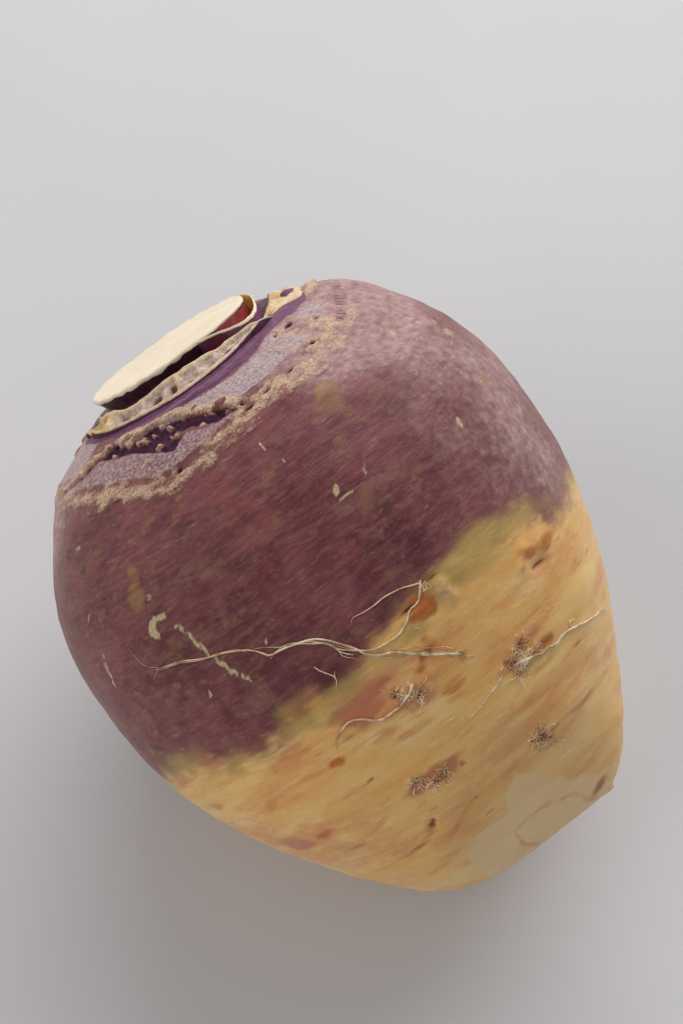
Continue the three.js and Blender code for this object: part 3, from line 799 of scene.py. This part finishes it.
def make_stalk_stub():
    obj, across, depth, angle, p = clasping_strip("cut_leaf_stalk", STALK, 200, STALK_SECTION, 20, 4)
    width = read(smooth_line(STALK_WIDTH, 8), angle)
    neck = NECK_RADIUS * oval_share(angle) + NECK_SHIFT * np.cos(np.radians(angle - BEND_ANGLE))
    radius = neck - STALK_SINK + across * (width + STALK_SINK)
    radius = radius + 0.25 * grain(p * (0.3, 1, 1), 8, 121) * across + 0.05 * grain(p, 1.5, 123)
    station = crown_shift(angle, neck) - STALK_SINK + STALK_DROP * across * width + depth
    station = station + (0.25 * grain(p, 3, 125) + 0.1 * grain(p, 1.2, 127)) * (depth < 1.5) * across
    inside = ramp(across, 0.07, 0.09) * (1 - ramp(across, 0.91, 0.93)) * ramp(depth, 0.1, 0.6)
    outwards = ramp(across, 0.14, 0.34)
    return laid(obj, station, angle, radius, {
        "inner_wall": inside * (1 - outwards),
        "outer_wall": inside * outwards,
        "outside": ramp(across, 0.97, 1.0) * ramp(depth, 0.25, 0.8),
        "shaded_end": ramp(angle, -26, -14) * ramp(depth, 0.3, 0.9),
    })


UPPER_BASE = (-84, -37)
# The flap's section as (share of its width outwards, depth below its top).
UPPER_SECTION = [(0.0, 6.0), (0.0, 3.0), (0.02, 1.0), (0.07, 0.3), (0.16, 0.0), (0.3, 0.1), (0.45, 0.3),
                 (0.6, 0.3), (0.74, 0.1), (0.86, -0.1), (0.95, 0.0), (1.0, 0.25), (1.02, 0.7),
                 (0.98, 1.1), (0.9, 1.4), (0.8, 2.4), (0.7, 4.5), (0.6, 6.0)]
UPPER_WIDTH = [(-84, 0.6), (-76, 3.0), (-68, 5.4), (-62, 7.2), (-56, 8.0), (-51, 7.6), (-47, 5.6),
               (-43, 3.4), (-37, 0.8)]
UPPER_TOP = [(-84, 5.0), (-76, 3.2), (-66, 2.1), (-58, 1.9), (-50, 2.4), (-44, 3.2), (-37, 4.2)]
UPPER_FALL = 0.36  # how far its top falls for each millimetre outwards
UPPER_INNER = 25.9  # radius of its inner edge


def make_upper_base():
    obj, share, depth, angle, p = clasping_strip("leaf_base_flap", UPPER_BASE, 130, UPPER_SECTION, 26, 4)
    lip = 1 - ramp(depth, 0.6, 1.6)
    width = read(smooth_line(UPPER_WIDTH, 8), angle)
    radius = UPPER_INNER + share * width * (1 + 0.14 * grain(p * (0.2, 1, 1), 3.4, 131))
    station = read(UPPER_TOP, angle) + UPPER_FALL * (radius - 26) + depth
    station = station + lip * (0.35 * grain(p, 3.2, 135) + 0.2 * rough(p, 1.4, 2, 137))
    return laid(obj, station, angle, radius, {
        "rim": lip * np.clip(0.5 + ramp(share, 0.6, 0.9) + 0.5 * rough(p, 2.4, 2, 141), 0, 1),
        # Brown painted shade over the inner part of the flap.
        "hollow": np.clip(0.25 + 0.9 * rough(p, 2.2, 2, 139), 0, 1) * (1 - ramp(share, 0.55, 0.8)),
        "shade": (1 - ramp(share, 0.0, 0.06)) + ramp(depth, 2.0, 3.0),
        "ochre": np.full(len(radius), 0.9),
    })


# ---------------------------------------------------------------- side rootlets
# Name, CAD node, radius in mm, the places it passes, and its branches: the share of its length that
# each leaves at, and the places that the branch goes on to.
ROOTLETS = [
    ("long_rootlet", "rootlet_long", 0.3,
     [(93, 6.3), (90.4, 9), (87.5, 13), (84, 18), (81.5, 21), (79.5, 22.2), (77, 24), (74, 26), (71.6, 29),
      (70.3, 33), (69.9, 36), (68.4, 37.2), (66.3, 39.2), (64.8, 42), (63.3, 46), (61.8, 50), (60.2, 55),
      (59.2, 59)],
     [(0.99, [(57.6, 60.2), (55, 61.6), (51, 62.6)]), (0.985, [(60, 60.4), (60.6, 61.4)]),
      (0.0, [(94.4, 5.2), (95.4, 3.4)]), (0.72, [(66.8, 39.6), (67.6, 39.4)])]),
    ("companion_rootlet", "rootlet_companion", 0.22,
     [(75.6, 5.2), (77.4, 6.2), (79, 8), (80, 11), (81.5, 14), (81.9, 17), (81.4, 20), (80, 22.2),
      (77.4, 24.8), (74, 27), (71.4, 30.2), (69.3, 34), (67.2, 38)],
     [(0.28, [(82.6, 12), (84.6, 10), (86, 11.4)]), (0.62, [(78.6, 25.2), (80.4, 23.6)])]),
    ("upper_rootlet", "rootlet_upper", 0.2,
     [(76, 5.4), (75, 7), (74.2, 9), (73.8, 12), (73.7, 16), (73.7, 19.4), (74.3, 20.4)], []),
    ("hooked_rootlet", "rootlet_hooked", 0.34,
     [(91.8, 18), (93.2, 19.6), (94.2, 22.6), (94.4, 26), (93.4, 28.6), (91.8, 30.5), (90.8, 32.6), (91, 35),
      (92, 37.4), (94.4, 39.6)], [(0.16, [(90.6, 22.6), (88.6, 24)])]),
    ("side_rootlet", "rootlet_side", 0.36,
     [(102.8, -3.5), (103.2, -6.4), (104.2, -10), (105, -13.4), (105, -17), (104.5, -20), (104.6, -23),
      (105.4, -25.4), (106.2, -30), (107.6, -37), (109, -44), (110, -48)],
     [(0.45, [(103.8, -23), (103.6, -26)])]),
    ("fine_rootlet", "rootlet_fine", 0.16,
     [(102.6, 0.6), (104, 4.6), (105, 9), (105, 13), (104, 14.2), (103.5, 16.4), (103, 18.4)], []),
]
# Straight thin strands that run beside the long rootlet.
SIDE_STRANDS = [[(91.6, 6.6), (88, 10.4), (84.6, 15.6), (82, 19.8)],
                [(92.6, 8), (89, 11), (85.2, 16.8), (82.6, 20.4)],
                [(80.4, 21.6), (77, 24.6), (73.2, 27.6), (70.8, 31.4), (69.8, 34.6)],
                [(79.6, 23.6), (77.6, 25.2), (75, 25.8), (72.4, 28.6), (70.2, 32.6), (70.3, 36.8)],
                [(66.6, 39), (64.2, 43.4), (62.6, 47.6), (60.6, 53.4), (59.3, 58.4)],
                [(77, 31), (79, 30), (81.4, 29.2), (83.4, 30.6)], [(81.4, 29.2), (80, 28.4)],
                [(100.6, -2), (101.6, 0.6), (102.8, 2)], [(99.4, -8), (97.6, -9)],
                [(122, -6), (124.4, -9.6), (127, -15)], [(118.4, -2.6), (116.4, -3.6)],
                [(112, 31), (109.4, 31.4), (108, 30.8)]]
TAPER_TO = 0.28  # a rootlet's radius at its tip, as a share of its radius at the scar
RAY_REACH = 12  # how far off the outline the search for the skin begins and ends
STRAND_GAP = 0.9  # between the points of a strand


def skin_finder(root):
    """A function that gives the point on the finished skin at a place, lifted off it."""
    tree = BVHTree.FromObject(root, bpy.context.evaluated_depsgraph_get())

    def on_skin(station, angle, lift):
        station = np.atleast_1d(np.asarray(station, float))
        angle = np.atleast_1d(np.asarray(angle, float))
        far = placed(station, angle, outline_radius(station) + RAY_REACH)
        near = placed(station, angle, outline_radius(station) - RAY_REACH)
        found = []
        for start, end, rise in zip(far, near, np.broadcast_to(lift, station.shape)):
            way = Vector(end - start)
            hit, normal, _, _ = tree.ray_cast(Vector(start) * MM, way.normalized())
            found.append(np.array(hit) / MM + np.array(normal) * rise)
        return np.array(found)

    return on_skin


def strand_points(on_skin, places, radius, lift, seed, tip=TAPER_TO):
    """Points and radii along a dry strand that follows places over the skin with small kinks."""
    way = smooth_line(places, 10)
    run = run_at(way[:, 0])
    steps = np.hypot(np.diff(run), np.diff(np.radians(way[:, 1])) * MEAN_RADIUS)
    along = np.concatenate([[0], np.cumsum(steps)])
    count = max(6, int(along[-1] / STRAND_GAP))
    at = np.linspace(0, along[-1], count)
    station = np.interp(at, along, way[:, 0])
    angle = np.interp(at, along, way[:, 1])
    kink = np.stack([at, np.full(count, seed * 7.3), np.zeros(count)], axis=-1)
    ends = np.clip(at / 2, 0, 1)
    station = station + 0.45 * rough(kink, 4.5, 2, seed) * ends
    angle = angle + 0.45 * rough(kink, 4.5, 2, seed + 50) * ends
    size = radius * (1 - (1 - tip) * (at / at[-1]) ** 1.3) * (1 + 0.18 * rough(kink, 2.2, 2, seed + 90))
    rise = size * 0.8 + lift * ends * (0.5 + 0.5 * grain(kink, 9, seed + 70))
    return on_skin(station, angle, rise), size, (station, angle)


def strands(name, lines, sides=3):
    """One mesh of tapered round strands, each given as points and radii in millimetres."""
    curve = bpy.data.curves.new(name, "CURVE")
    curve.dimensions = "3D"
    curve.bevel_depth = MM
    curve.bevel_resolution = sides
    curve.use_fill_caps = True
    for points, size in lines:
        # Nothing hangs below the resting plane.
        points[:, 2] = np.maximum(points[:, 2], np.max(size) + 0.02)
        spline = curve.splines.new("POLY")
        spline.points.add(len(points) - 1)
        spline.points.foreach_set("co", np.column_stack([points * MM, np.ones(len(points))]).ravel())
        spline.points.foreach_set("radius", size)
    obj = bpy.data.objects.new(name, curve)
    bpy.context.collection.objects.link(obj)
    active(obj)
    bpy.ops.object.convert(target="MESH")
    obj = bpy.context.object
    bpy.ops.object.mode_set(mode="EDIT")
    bpy.ops.mesh.select_all(action="SELECT")
    bpy.ops.mesh.remove_doubles(threshold=WELD / 2)
    bpy.ops.object.mode_set(mode="OBJECT")
    outward(obj)
    return obj


def make_rootlet(on_skin, name, radius, places, branches, seed):
    points, size, (station, angle) = strand_points(on_skin, places, radius, 0.5, seed)
    lines = [(points, size)]
    for k, (share, onward) in enumerate(branches):
        at = int(share * (len(station) - 1))
        path = [(station[at], angle[at]), *onward]
        branch, thin, _ = strand_points(on_skin, path, size[at] * 0.55, 0.35, seed + 3 * k + 5, tip=0.3)
        lines.append((branch, thin))
    return strands(name, lines)


# Woolly fibres in the scars: station, angle, spread in mm, number of fibres, longest length in mm.
TUFTS = [
    (101.6, -5.6, 2.8, 90, 3.6), (103.6, -11, 1.8, 34, 2.8), (105, -4.6, 2.0, 44, 2.8),
    (120.6, -3.4, 2.4, 90, 3.8), (94.2, 18.6, 2.2, 60, 2.8), (92.4, 21.4, 1.4, 30, 3.0),
    (113.2, 24.6, 1.6, 36, 2.4), (112.8, 28.4, 1.4, 30, 2.4), (110.8, 31.6, 1.6, 44, 2.8),
    (93.2, 6.4, 1.1, 14, 2.2), (77.2, 5, 1.2, 14, 2.0), (98, 176, 1.9, 40, 3.0), (112, 186, 2.2, 60, 3.2),
    (124, 198, 1.8, 40, 2.6), (105, -118, 1.9, 34, 2.8),
]


def make_tufts(on_skin):
    chance = np.random.default_rng(7)
    lines = []
    for station, angle, spread, number, longest in TUFTS:
        radius = outline_radius(station)
        for _ in range(number):
            along, around = chance.normal(0, 0.45 * spread, 2)
            way = chance.uniform(0, 2 * math.pi)
            length = longest * chance.uniform(0.35, 1)
            bend = chance.normal(0, 2.8)
            t = np.linspace(0, 1, 7)
            heading = way + bend * t
            x = along + np.cumsum(np.cos(heading)) * length / 7
            y = around + np.cumsum(np.sin(heading)) * length / 7
            rise = 0.05 + chance.uniform(0.05, 0.3) * length * np.sin(t * chance.uniform(1.2, 3.0))
            points = on_skin(station + x, angle + np.degrees(y / radius), rise)
            size = chance.uniform(0.06, 0.14) * (1 - 0.6 * t)
            lines.append((points, size))
    return strands("scar_fibres", lines, sides=1)


def make_side_strands(on_skin):
    lines = []
    for k, way in enumerate(SIDE_STRANDS):
        points, size, _ = strand_points(on_skin, way, 0.14, 0.3, 200 + k, tip=0.5)
        lines.append((points, size))
    return strands("thin_side_strands", lines, sides=1)


# ---------------------------------------------------------------- materials
def srgb(code):
    """A linear colour from an sRGB hex value."""
    parts = [int(code[k:k + 2], 16) / 255 for k in (1, 3, 5)]
    return (*[c / 12.92 if c <= 0.04045 else ((c + 0.055) / 1.055) ** 2.4 for c in parts], 1)


def per_mm(size):
    """The scale of a noise pattern whose features are `size` mm across."""
    return 1 / (size * MM)


def new_material(name):
    mat = bpy.data.materials.new(name)
    mat.use_nodes = True
    mat.node_tree.nodes.clear()
    return mat, mat.node_tree


def add(tree, kind, inputs=None, **settings):
    """Adds a node, sets its settings, and sets or links its inputs."""
    node = tree.nodes.new(kind)
    for name, value in settings.items():
        setattr(node, name, value)
    for name, value in (inputs or {}).items():
        if isinstance(value, bpy.types.NodeSocket):
            tree.links.new(value, node.inputs[name])
        else:
            node.inputs[name].default_value = value
    return node


# Sockets of the colour mix node.
MIX_A = 6
MIX_B = 7
MIX_RESULT = 2
SPECK_FADE = 0.16  # how much further the noise rises over the soft edge of a speck
FRAY = 0.9  # how strongly a noise pattern frays the edge of a painted layer
FLESH_GLOW = (0.004, 0.002, 0.001)  # how far red, green and blue light travels in the flesh, in metres


def two_tones(tree, where, size, detail, roughness, dark, light):
    """A noise pattern `size` mm across, and the colour it gives between two tones. Each tone is told as the
    noise value where it is pure, and its colour."""
    noise = add(tree, "ShaderNodeTexNoise", {"Vector": where, "Scale": per_mm(size), "Detail": detail,
                                             "Roughness": roughness}).outputs["Fac"]
    tones = add(tree, "ShaderNodeValToRGB", {"Fac": noise})
    for stop, (position, tone) in zip(tones.color_ramp.elements, (dark, light)):
        stop.position = position
        stop.color = srgb(tone)
    return noise, tones.outputs["Color"]


def finished(mat, height, strength, depth, inputs):
    """Gives a material its surface, with fine relief `depth` mm deep, and gives the material back."""
    tree = mat.node_tree
    bump = add(tree, "ShaderNodeBump", {"Height": height, "Strength": strength, "Distance": depth * MM})
    shader = add(tree, "ShaderNodeBsdfPrincipled", {"Normal": bump.outputs["Normal"], "IOR": 1.4, **inputs})
    add(tree, "ShaderNodeOutputMaterial", {"Surface": shader.outputs[0]})
    return mat


def layered(tree, base, where, layers):
    """Lays painted layers over a colour. Each is an attribute, its two colours, the size of its mottling in
    mm, and the two values between which its ragged edge fades in."""
    for name, dark, light, size, low, high in layers:
        mask = add(tree, "ShaderNodeAttribute", attribute_name=name).outputs["Fac"]
        mottle = add(tree, "ShaderNodeTexNoise", {"Vector": where, "Scale": per_mm(size), "Detail": 5.0,
                                                  "Roughness": 0.62}).outputs["Fac"]
        ragged = add(tree, "ShaderNodeMath", {0: mottle, 1: FRAY, 2: -FRAY / 2},
                     operation="MULTIPLY_ADD").outputs[0]
        inked = add(tree, "ShaderNodeMath", {0: mask, 1: ragged}, operation="ADD").outputs[0]
        factor = add(tree, "ShaderNodeMapRange", {"Value": inked, "From Min": low, "From Max": high},
                     interpolation_type="SMOOTHSTEP").outputs[0]
        tone = add(tree, "ShaderNodeMapRange", {"Value": mottle, "From Min": 0.32,
                                                "From Max": 0.68}).outputs[0]
        colour = add(tree, "ShaderNodeMix", {0: tone, MIX_A: srgb(dark), MIX_B: srgb(light)},
                     data_type="RGBA")
        base = add(tree, "ShaderNodeMix", {0: factor, MIX_A: base, MIX_B: colour.outputs[MIX_RESULT]},
                   data_type="RGBA").outputs[MIX_RESULT]
    return base


def speckled(tree, base, where, specks):
    """Scatters specks over a colour. Each kind is told as its colour, its size in mm, the noise value
    where it starts, its strength, and how far its pattern is moved, in metres."""
    for tone, size, start, strength, offset in specks:
        moved = add(tree, "ShaderNodeMapping", {"Vector": where, "Location": [offset] * 3}).outputs[0]
        noise = add(tree, "ShaderNodeTexNoise", {"Vector": moved, "Scale": per_mm(size), "Detail": 6.0,
                                                 "Roughness": 0.7}).outputs["Fac"]
        factor = add(tree, "ShaderNodeMapRange", {"Value": noise, "From Min": start,
                                                  "From Max": start + SPECK_FADE, "To Max": strength},
                     interpolation_type="SMOOTHSTEP").outputs[0]
        base = add(tree, "ShaderNodeMix", {0: factor, MIX_A: base, MIX_B: srgb(tone)},
                   data_type="RGBA").outputs[MIX_RESULT]
    return base


def rutabaga_skin():
    """Grown skin, purple above ground and cream below: smooth and slightly waxy, dull where it is corky."""
    mat, tree = new_material("grown_rutabaga_skin")
    place = add(tree, "ShaderNodeAttribute", attribute_name="place").outputs["Vector"]
    ringwise = add(tree, "ShaderNodeMapping", {"Vector": place, "Scale": (1, 0.22, 0.22)}).outputs[0]

    # Purple: broad clouds, fine rings round the root, maroon blotches and tan flecks.
    _, purple = two_tones(tree, place, 14, 6.0, 0.65, (0.36, "#5f2430"), (0.66, "#7f4049"))
    rings = add(tree, "ShaderNodeTexNoise", {"Vector": ringwise, "Scale": per_mm(1.3), "Detail": 7.0,
                                             "Roughness": 0.7}).outputs["Fac"]
    ring_tone = add(tree, "ShaderNodeMapRange", {"Value": rings, "From Min": 0.42, "From Max": 0.72,
                                                 "To Max": 0.5}).outputs[0]
    purple = add(tree, "ShaderNodeMix", {0: ring_tone, MIX_A: purple, MIX_B: srgb("#9c766c")},
                 data_type="RGBA").outputs[MIX_RESULT]
    purple = speckled(tree, purple, place, [
        ("#451620", 6.0, 0.5, 0.5, 0.0), ("#8d6a50", 7.0, 0.52, 0.55, 0.2), ("#7a2430", 2.6, 0.56, 0.6, 0.1),
    ])
    purple = speckled(tree, purple, ringwise, [
        ("#b89a84", 0.7, 0.56, 0.45, 0.7), ("#3f1822", 1.0, 0.54, 0.4, 0.3),
    ])
    purple = layered(tree, purple, place, [
        # Lighter mauve over the purple: partly the skin's own waxy bloom, partly painted sheen where the
        # window light glances off.
        ("bloom_and_sheen", "#9a747a", "#bfa2a0", 2.2, 0.35, 1.35),
        ("red", "#742428", "#93574f", 2.0, 0.4, 1.7),
    ])

    # Cream: butter yellow with faint warm rings.
    _, cream = two_tones(tree, ringwise, 7, 5.0, 0.6, (0.3, "#f3cf88"), (0.72, "#e7ad5e"))
    cream = speckled(tree, cream, ringwise, [
        ("#d98658", 9.0, 0.48, 0.55, 0.2), ("#f6e4b0", 6.0, 0.52, 0.45, 0.8),
        ("#c86a48", 3.5, 0.55, 0.5, 0.4), ("#f3e0b0", 1.5, 0.56, 0.4, 0.6), ("#c07a40", 0.9, 0.6, 0.5, 0.9),
    ])

    # The purple ends in a ragged edge with a green tinge.
    cap = add(tree, "ShaderNodeAttribute", attribute_name="purple").outputs["Fac"]
    frayed = add(tree, "ShaderNodeMath", {0: rings, 1: FRAY, 2: -FRAY / 2},
                 operation="MULTIPLY_ADD").outputs[0]
    cap = add(tree, "ShaderNodeMath", {0: cap, 1: frayed}, operation="ADD").outputs[0]
    cap = add(tree, "ShaderNodeMapRange", {"Value": cap, "From Min": 0.1, "From Max": 0.9},
              interpolation_type="SMOOTHSTEP").outputs[0]
    colour = add(tree, "ShaderNodeMix", {0: cap, MIX_A: cream, MIX_B: purple},
                 data_type="RGBA").outputs[MIX_RESULT]
    colour = layered(tree, colour, ringwise, [
        ("green", "#807036", "#b3a25c", 2.6, 0.35, 1.5),
        ("olive", "#8a6228", "#a8845a", 2.2, 0.4, 1.5),
        ("trim", "#e9c48e", "#f0d2a2", 6.0, 0.3, 1.2),
        ("pink", "#b0604a", "#d0906c", 2.6, 0.2, 1.2),
        ("rust", "#b0602c", "#cf8444", 2.2, 0.25, 1.0),
        ("magenta", "#8a3a40", "#a5524c", 2.0, 0.4, 1.1),
    ])
    colour = layered(tree, colour, place, [
        ("pale_lump", "#c49468", "#e2bf90", 1.4, 0.35, 1.2),
        ("scribble", "#a8946a", "#d3c3a0", 0.8, 0.25, 0.8),
        ("net", "#8d727c", "#c8b8ba", 0.7, 0.25, 0.9),
        ("strip", "#4c1f45", "#78456f", 2.4, 0.3, 0.7),
        # The neck layer is near-black purple painted shade on the neck wall under the crown cut.
        ("neck", "#2a0c1e", "#4a1c38", 2.4, 0.3, 0.7),
        ("cork", "#a38169", "#e0c8ae", 0.6, 0.25, 1.15),
        # The dark layer is near-black purple painted shade in the sunken fissure, holes, hidden cuts and
        # ladder gaps.
        ("dark", "#2c0e26", "#5a2450", 1.2, 0.3, 0.8),
        ("pit", "#6e3419", "#b06c38", 0.9, 0.35, 0.9),
        ("flesh", "#ebdfc4", "#f2e9d6", 6.0, 0.4, 0.6),
    ])

    # Relief too fine for the mesh: ring-wise grain everywhere, cracked scurf on the cork.
    cork = add(tree, "ShaderNodeAttribute", attribute_name="cork").outputs["Fac"]
    net = add(tree, "ShaderNodeAttribute", attribute_name="net").outputs["Fac"]
    scurf = add(tree, "ShaderNodeTexVoronoi", {"Vector": place, "Scale": per_mm(0.9)},
                feature="DISTANCE_TO_EDGE").outputs["Distance"]
    scurf = add(tree, "ShaderNodeMath", {0: scurf, 1: 2.2}, operation="MULTIPLY").outputs[0]
    crusty = add(tree, "ShaderNodeMath", {0: cork, 1: net}, operation="MAXIMUM").outputs[0]
    crusty = add(tree, "ShaderNodeMath", {0: crusty, 1: scurf}, operation="MULTIPLY").outputs[0]
    pores = add(tree, "ShaderNodeTexNoise", {"Vector": place, "Scale": per_mm(0.7), "Detail": 4.0,
                                             "Roughness": 0.6}).outputs["Fac"]
    grainy = add(tree, "ShaderNodeMath", {0: rings, 1: 0.7, 2: pores}, operation="MULTIPLY_ADD").outputs[0]
    relief = add(tree, "ShaderNodeMath", {0: crusty, 1: 1.1, 2: grainy}, operation="MULTIPLY_ADD").outputs[0]
    wax = add(tree, "ShaderNodeMapRange", {"Value": crusty, "From Max": 0.6, "To Min": 0.46,
                                           "To Max": 0.9}).outputs[0]
    dull = add(tree, "ShaderNodeMath", {0: rings, 1: 0.22, 2: wax}, operation="MULTIPLY_ADD").outputs[0]
    return finished(mat, relief, 0.55, 0.22, {
        "Base Color": colour, "Roughness": dull, "IOR": 1.42,
        "Subsurface Weight": 0.06, "Subsurface Radius": FLESH_GLOW, "Subsurface Scale": 1.0,
        "Sheen Weight": 0.36, "Sheen Roughness": 0.38, "Sheen Tint": srgb("#ecdccc"),
    })


def dry_leaf_base():
    """Withered leaf base: papery tan rims, woolly grey-lilac tissue between them, brown painted shade in the
    hollows, dull.
    """
    mat, tree = new_material("withered_leaf_base")
    place = add(tree, "ShaderNodeAttribute", attribute_name="place").outputs["Vector"]
    _, wool = two_tones(tree, place, 1.4, 6.0, 0.7, (0.35, "#94766f"), (0.62, "#d8c8bd"))
    colour = layered(tree, wool, place, [
        # The hollow layer is brown painted shade in the hollows.
        ("hollow", "#4f2f26", "#7a5540", 1.6, 0.35, 1.0),
        ("ochre", "#b98a4c", "#e0cf9a", 1.8, 0.35, 0.9),
        ("shade", "#3a1428", "#55243f", 2.0, 0.3, 0.7),
        ("rim", "#d8b98a", "#f0e0c2", 1.6, 0.35, 0.8),
    ])
    fibres = add(tree, "ShaderNodeTexNoise", {"Vector": place, "Scale": per_mm(0.5), "Detail": 5.0,
                                              "Roughness": 0.7}).outputs["Fac"]
    return finished(mat, fibres, 0.7, 0.3, {"Base Color": colour, "Roughness": 0.88, "Sheen Weight": 0.1})


def cut_stalk_flesh():
    """Freshly cut leaf stalk: moist cream rim, red-purple and amber walls inside, purple skin outside."""
    mat, tree = new_material("cut_leaf_stalk_flesh")
    place = add(tree, "ShaderNodeAttribute", attribute_name="place").outputs["Vector"]
    base = add(tree, "ShaderNodeRGB").outputs[0]
    base.default_value = srgb("#efe0c4")
    colour = layered(tree, base, place, [
        ("inner_wall", "#7a1f2c", "#a8454a", 2.0, 0.3, 0.75),
        ("outer_wall", "#c98a3c", "#e6bf78", 2.2, 0.3, 0.75),
        ("outside", "#5c2f55", "#74436b", 2.4, 0.35, 0.7),
        ("shaded_end", "#2a0c1e", "#4a1c38", 2.4, 0.3, 0.8),
    ])
    veins = add(tree, "ShaderNodeTexNoise", {"Vector": place, "Scale": per_mm(0.8),
                                             "Detail": 4.0}).outputs["Fac"]
    return finished(mat, veins, 0.4, 0.15, {
        "Base Color": colour, "Roughness": 0.5,
        "Subsurface Weight": 0.15, "Subsurface Radius": FLESH_GLOW, "Subsurface Scale": 1.0,
    })


def dry_root_fibre(name, dark, light):
    """Dried rootlet: straw coloured, browner in places, matt with a fibrous skin."""
    mat, tree = new_material(name)
    where = add(tree, "ShaderNodeTexCoord").outputs["Object"]
    streaks, colour = two_tones(tree, where, 4, 6.0, 0.7, (0.38, dark), (0.58, light))
    return finished(mat, streaks, 0.5, 0.1, {"Base Color": colour, "Roughness": 0.8})


def plain_floor():
    """Matt pale studio board."""
    mat, tree = new_material("pale_studio_floor")
    where = add(tree, "ShaderNodeTexCoord").outputs["Object"]
    haze = add(tree, "ShaderNodeTexNoise", {"Vector": where, "Scale": per_mm(120),
                                            "Detail": 3.0}).outputs["Fac"]
    colour = add(tree, "ShaderNodeMix", {0: haze, MIX_A: srgb("#d0d3da"), MIX_B: srgb("#c8cad0")},
                 data_type="RGBA").outputs[MIX_RESULT]
    shader = add(tree, "ShaderNodeBsdfPrincipled", {"Base Color": colour, "Roughness": 0.75})
    add(tree, "ShaderNodeOutputMaterial", {"Surface": shader.outputs[0]})
    return mat


# ---------------------------------------------------------------- building
def finish_piece(obj, material, slot, *nodes):
    obj.data.materials.clear()
    obj.data.materials.append(material)
    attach(obj, "root")
    if nodes:
        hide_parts(*nodes)


skin_material = rutabaga_skin()
leaf_material = dry_leaf_base()
stalk_material = cut_stalk_flesh()
rootlet_material = dry_root_fibre("dried_rootlet", "#b08d68", "#f0e2c6")
tuft_material = dry_root_fibre("dried_scar_wool", "#c79a6a", "#fbe8c8")

root = make_root()
finish_piece(root, skin_material, "skin", "root")
finish_piece(make_front_base(), leaf_material, "dry_leaf", "leaf_base_front")
finish_piece(make_upper_base(), leaf_material, "dry_leaf", "leaf_base_upper")
finish_piece(make_stalk_stub(), stalk_material, "stalk_flesh", "leaf_stalk_stub")
skin_point = skin_finder(root)
for number, (name, node, radius, places, branches) in enumerate(ROOTLETS):
    rootlet = make_rootlet(skin_point, name, radius, places, branches, 10 + 20 * number)
    finish_piece(rootlet, rootlet_material, "root_fibre", node)
finish_piece(make_tufts(skin_point), tuft_material, "root_fibre")
finish_piece(make_side_strands(skin_point), rootlet_material, "root_fibre")

# ---------------------------------------------------------------- studio
FLOOR_SIZE = 4.0
VIEW_TURN = math.radians(49.512)
VIEW_RISE = math.radians(60)
CAMERA_PLACE = Vector((115.41, -105.74, 377.99)) * MM
LENS = 51.31
SENSOR = 36
LIGHT_AIM = Vector((0, 0, 0.05))  # the middle of the root
AIR_TONE = "#e2e2e4"
AIR_STRENGTH = 0.42

bpy.ops.mesh.primitive_plane_add(size=FLOOR_SIZE, location=(0, 0, 0))
floor = bpy.context.object
floor.name = "studio_floor"
floor.data.materials.append(plain_floor())

bpy.ops.object.camera_add(location=CAMERA_PLACE, rotation=(math.pi / 2 - VIEW_RISE, 0, VIEW_TURN))
camera = bpy.context.object
camera.data.lens = LENS
camera.data.sensor_width = SENSOR
camera.data.clip_start = 0.01
bpy.context.scene.camera = camera


def soft_light(name, place, size, power, tone):
    """A square area light that faces the middle of the root."""
    aim = LIGHT_AIM - Vector(place)
    bpy.ops.object.light_add(type="AREA", location=place, rotation=aim.to_track_quat("-Z", "Y").to_euler())
    light = bpy.context.object
    light.name = name
    light.data.shape = "SQUARE"
    light.data.size = size
    light.data.energy = power
    light.data.color = srgb(tone)[:3]


# A broad window behind and above, and a weak warmer fill from the front.
soft_light("window_light", (-0.62, 0.95, 0.85), 1.5, 21, "#fff8f2")
soft_light("left_fill", (-0.35, -0.95, 0.75), 0.9, 5, "#fff1e0")

world = bpy.data.worlds.new("studio_air")
bpy.context.scene.world = world
world.use_nodes = True
air = world.node_tree.nodes["Background"]
air.inputs["Color"].default_value = srgb(AIR_TONE)
air.inputs["Strength"].default_value = AIR_STRENGTH
bpy.context.scene.view_settings.view_transform = "Standard"
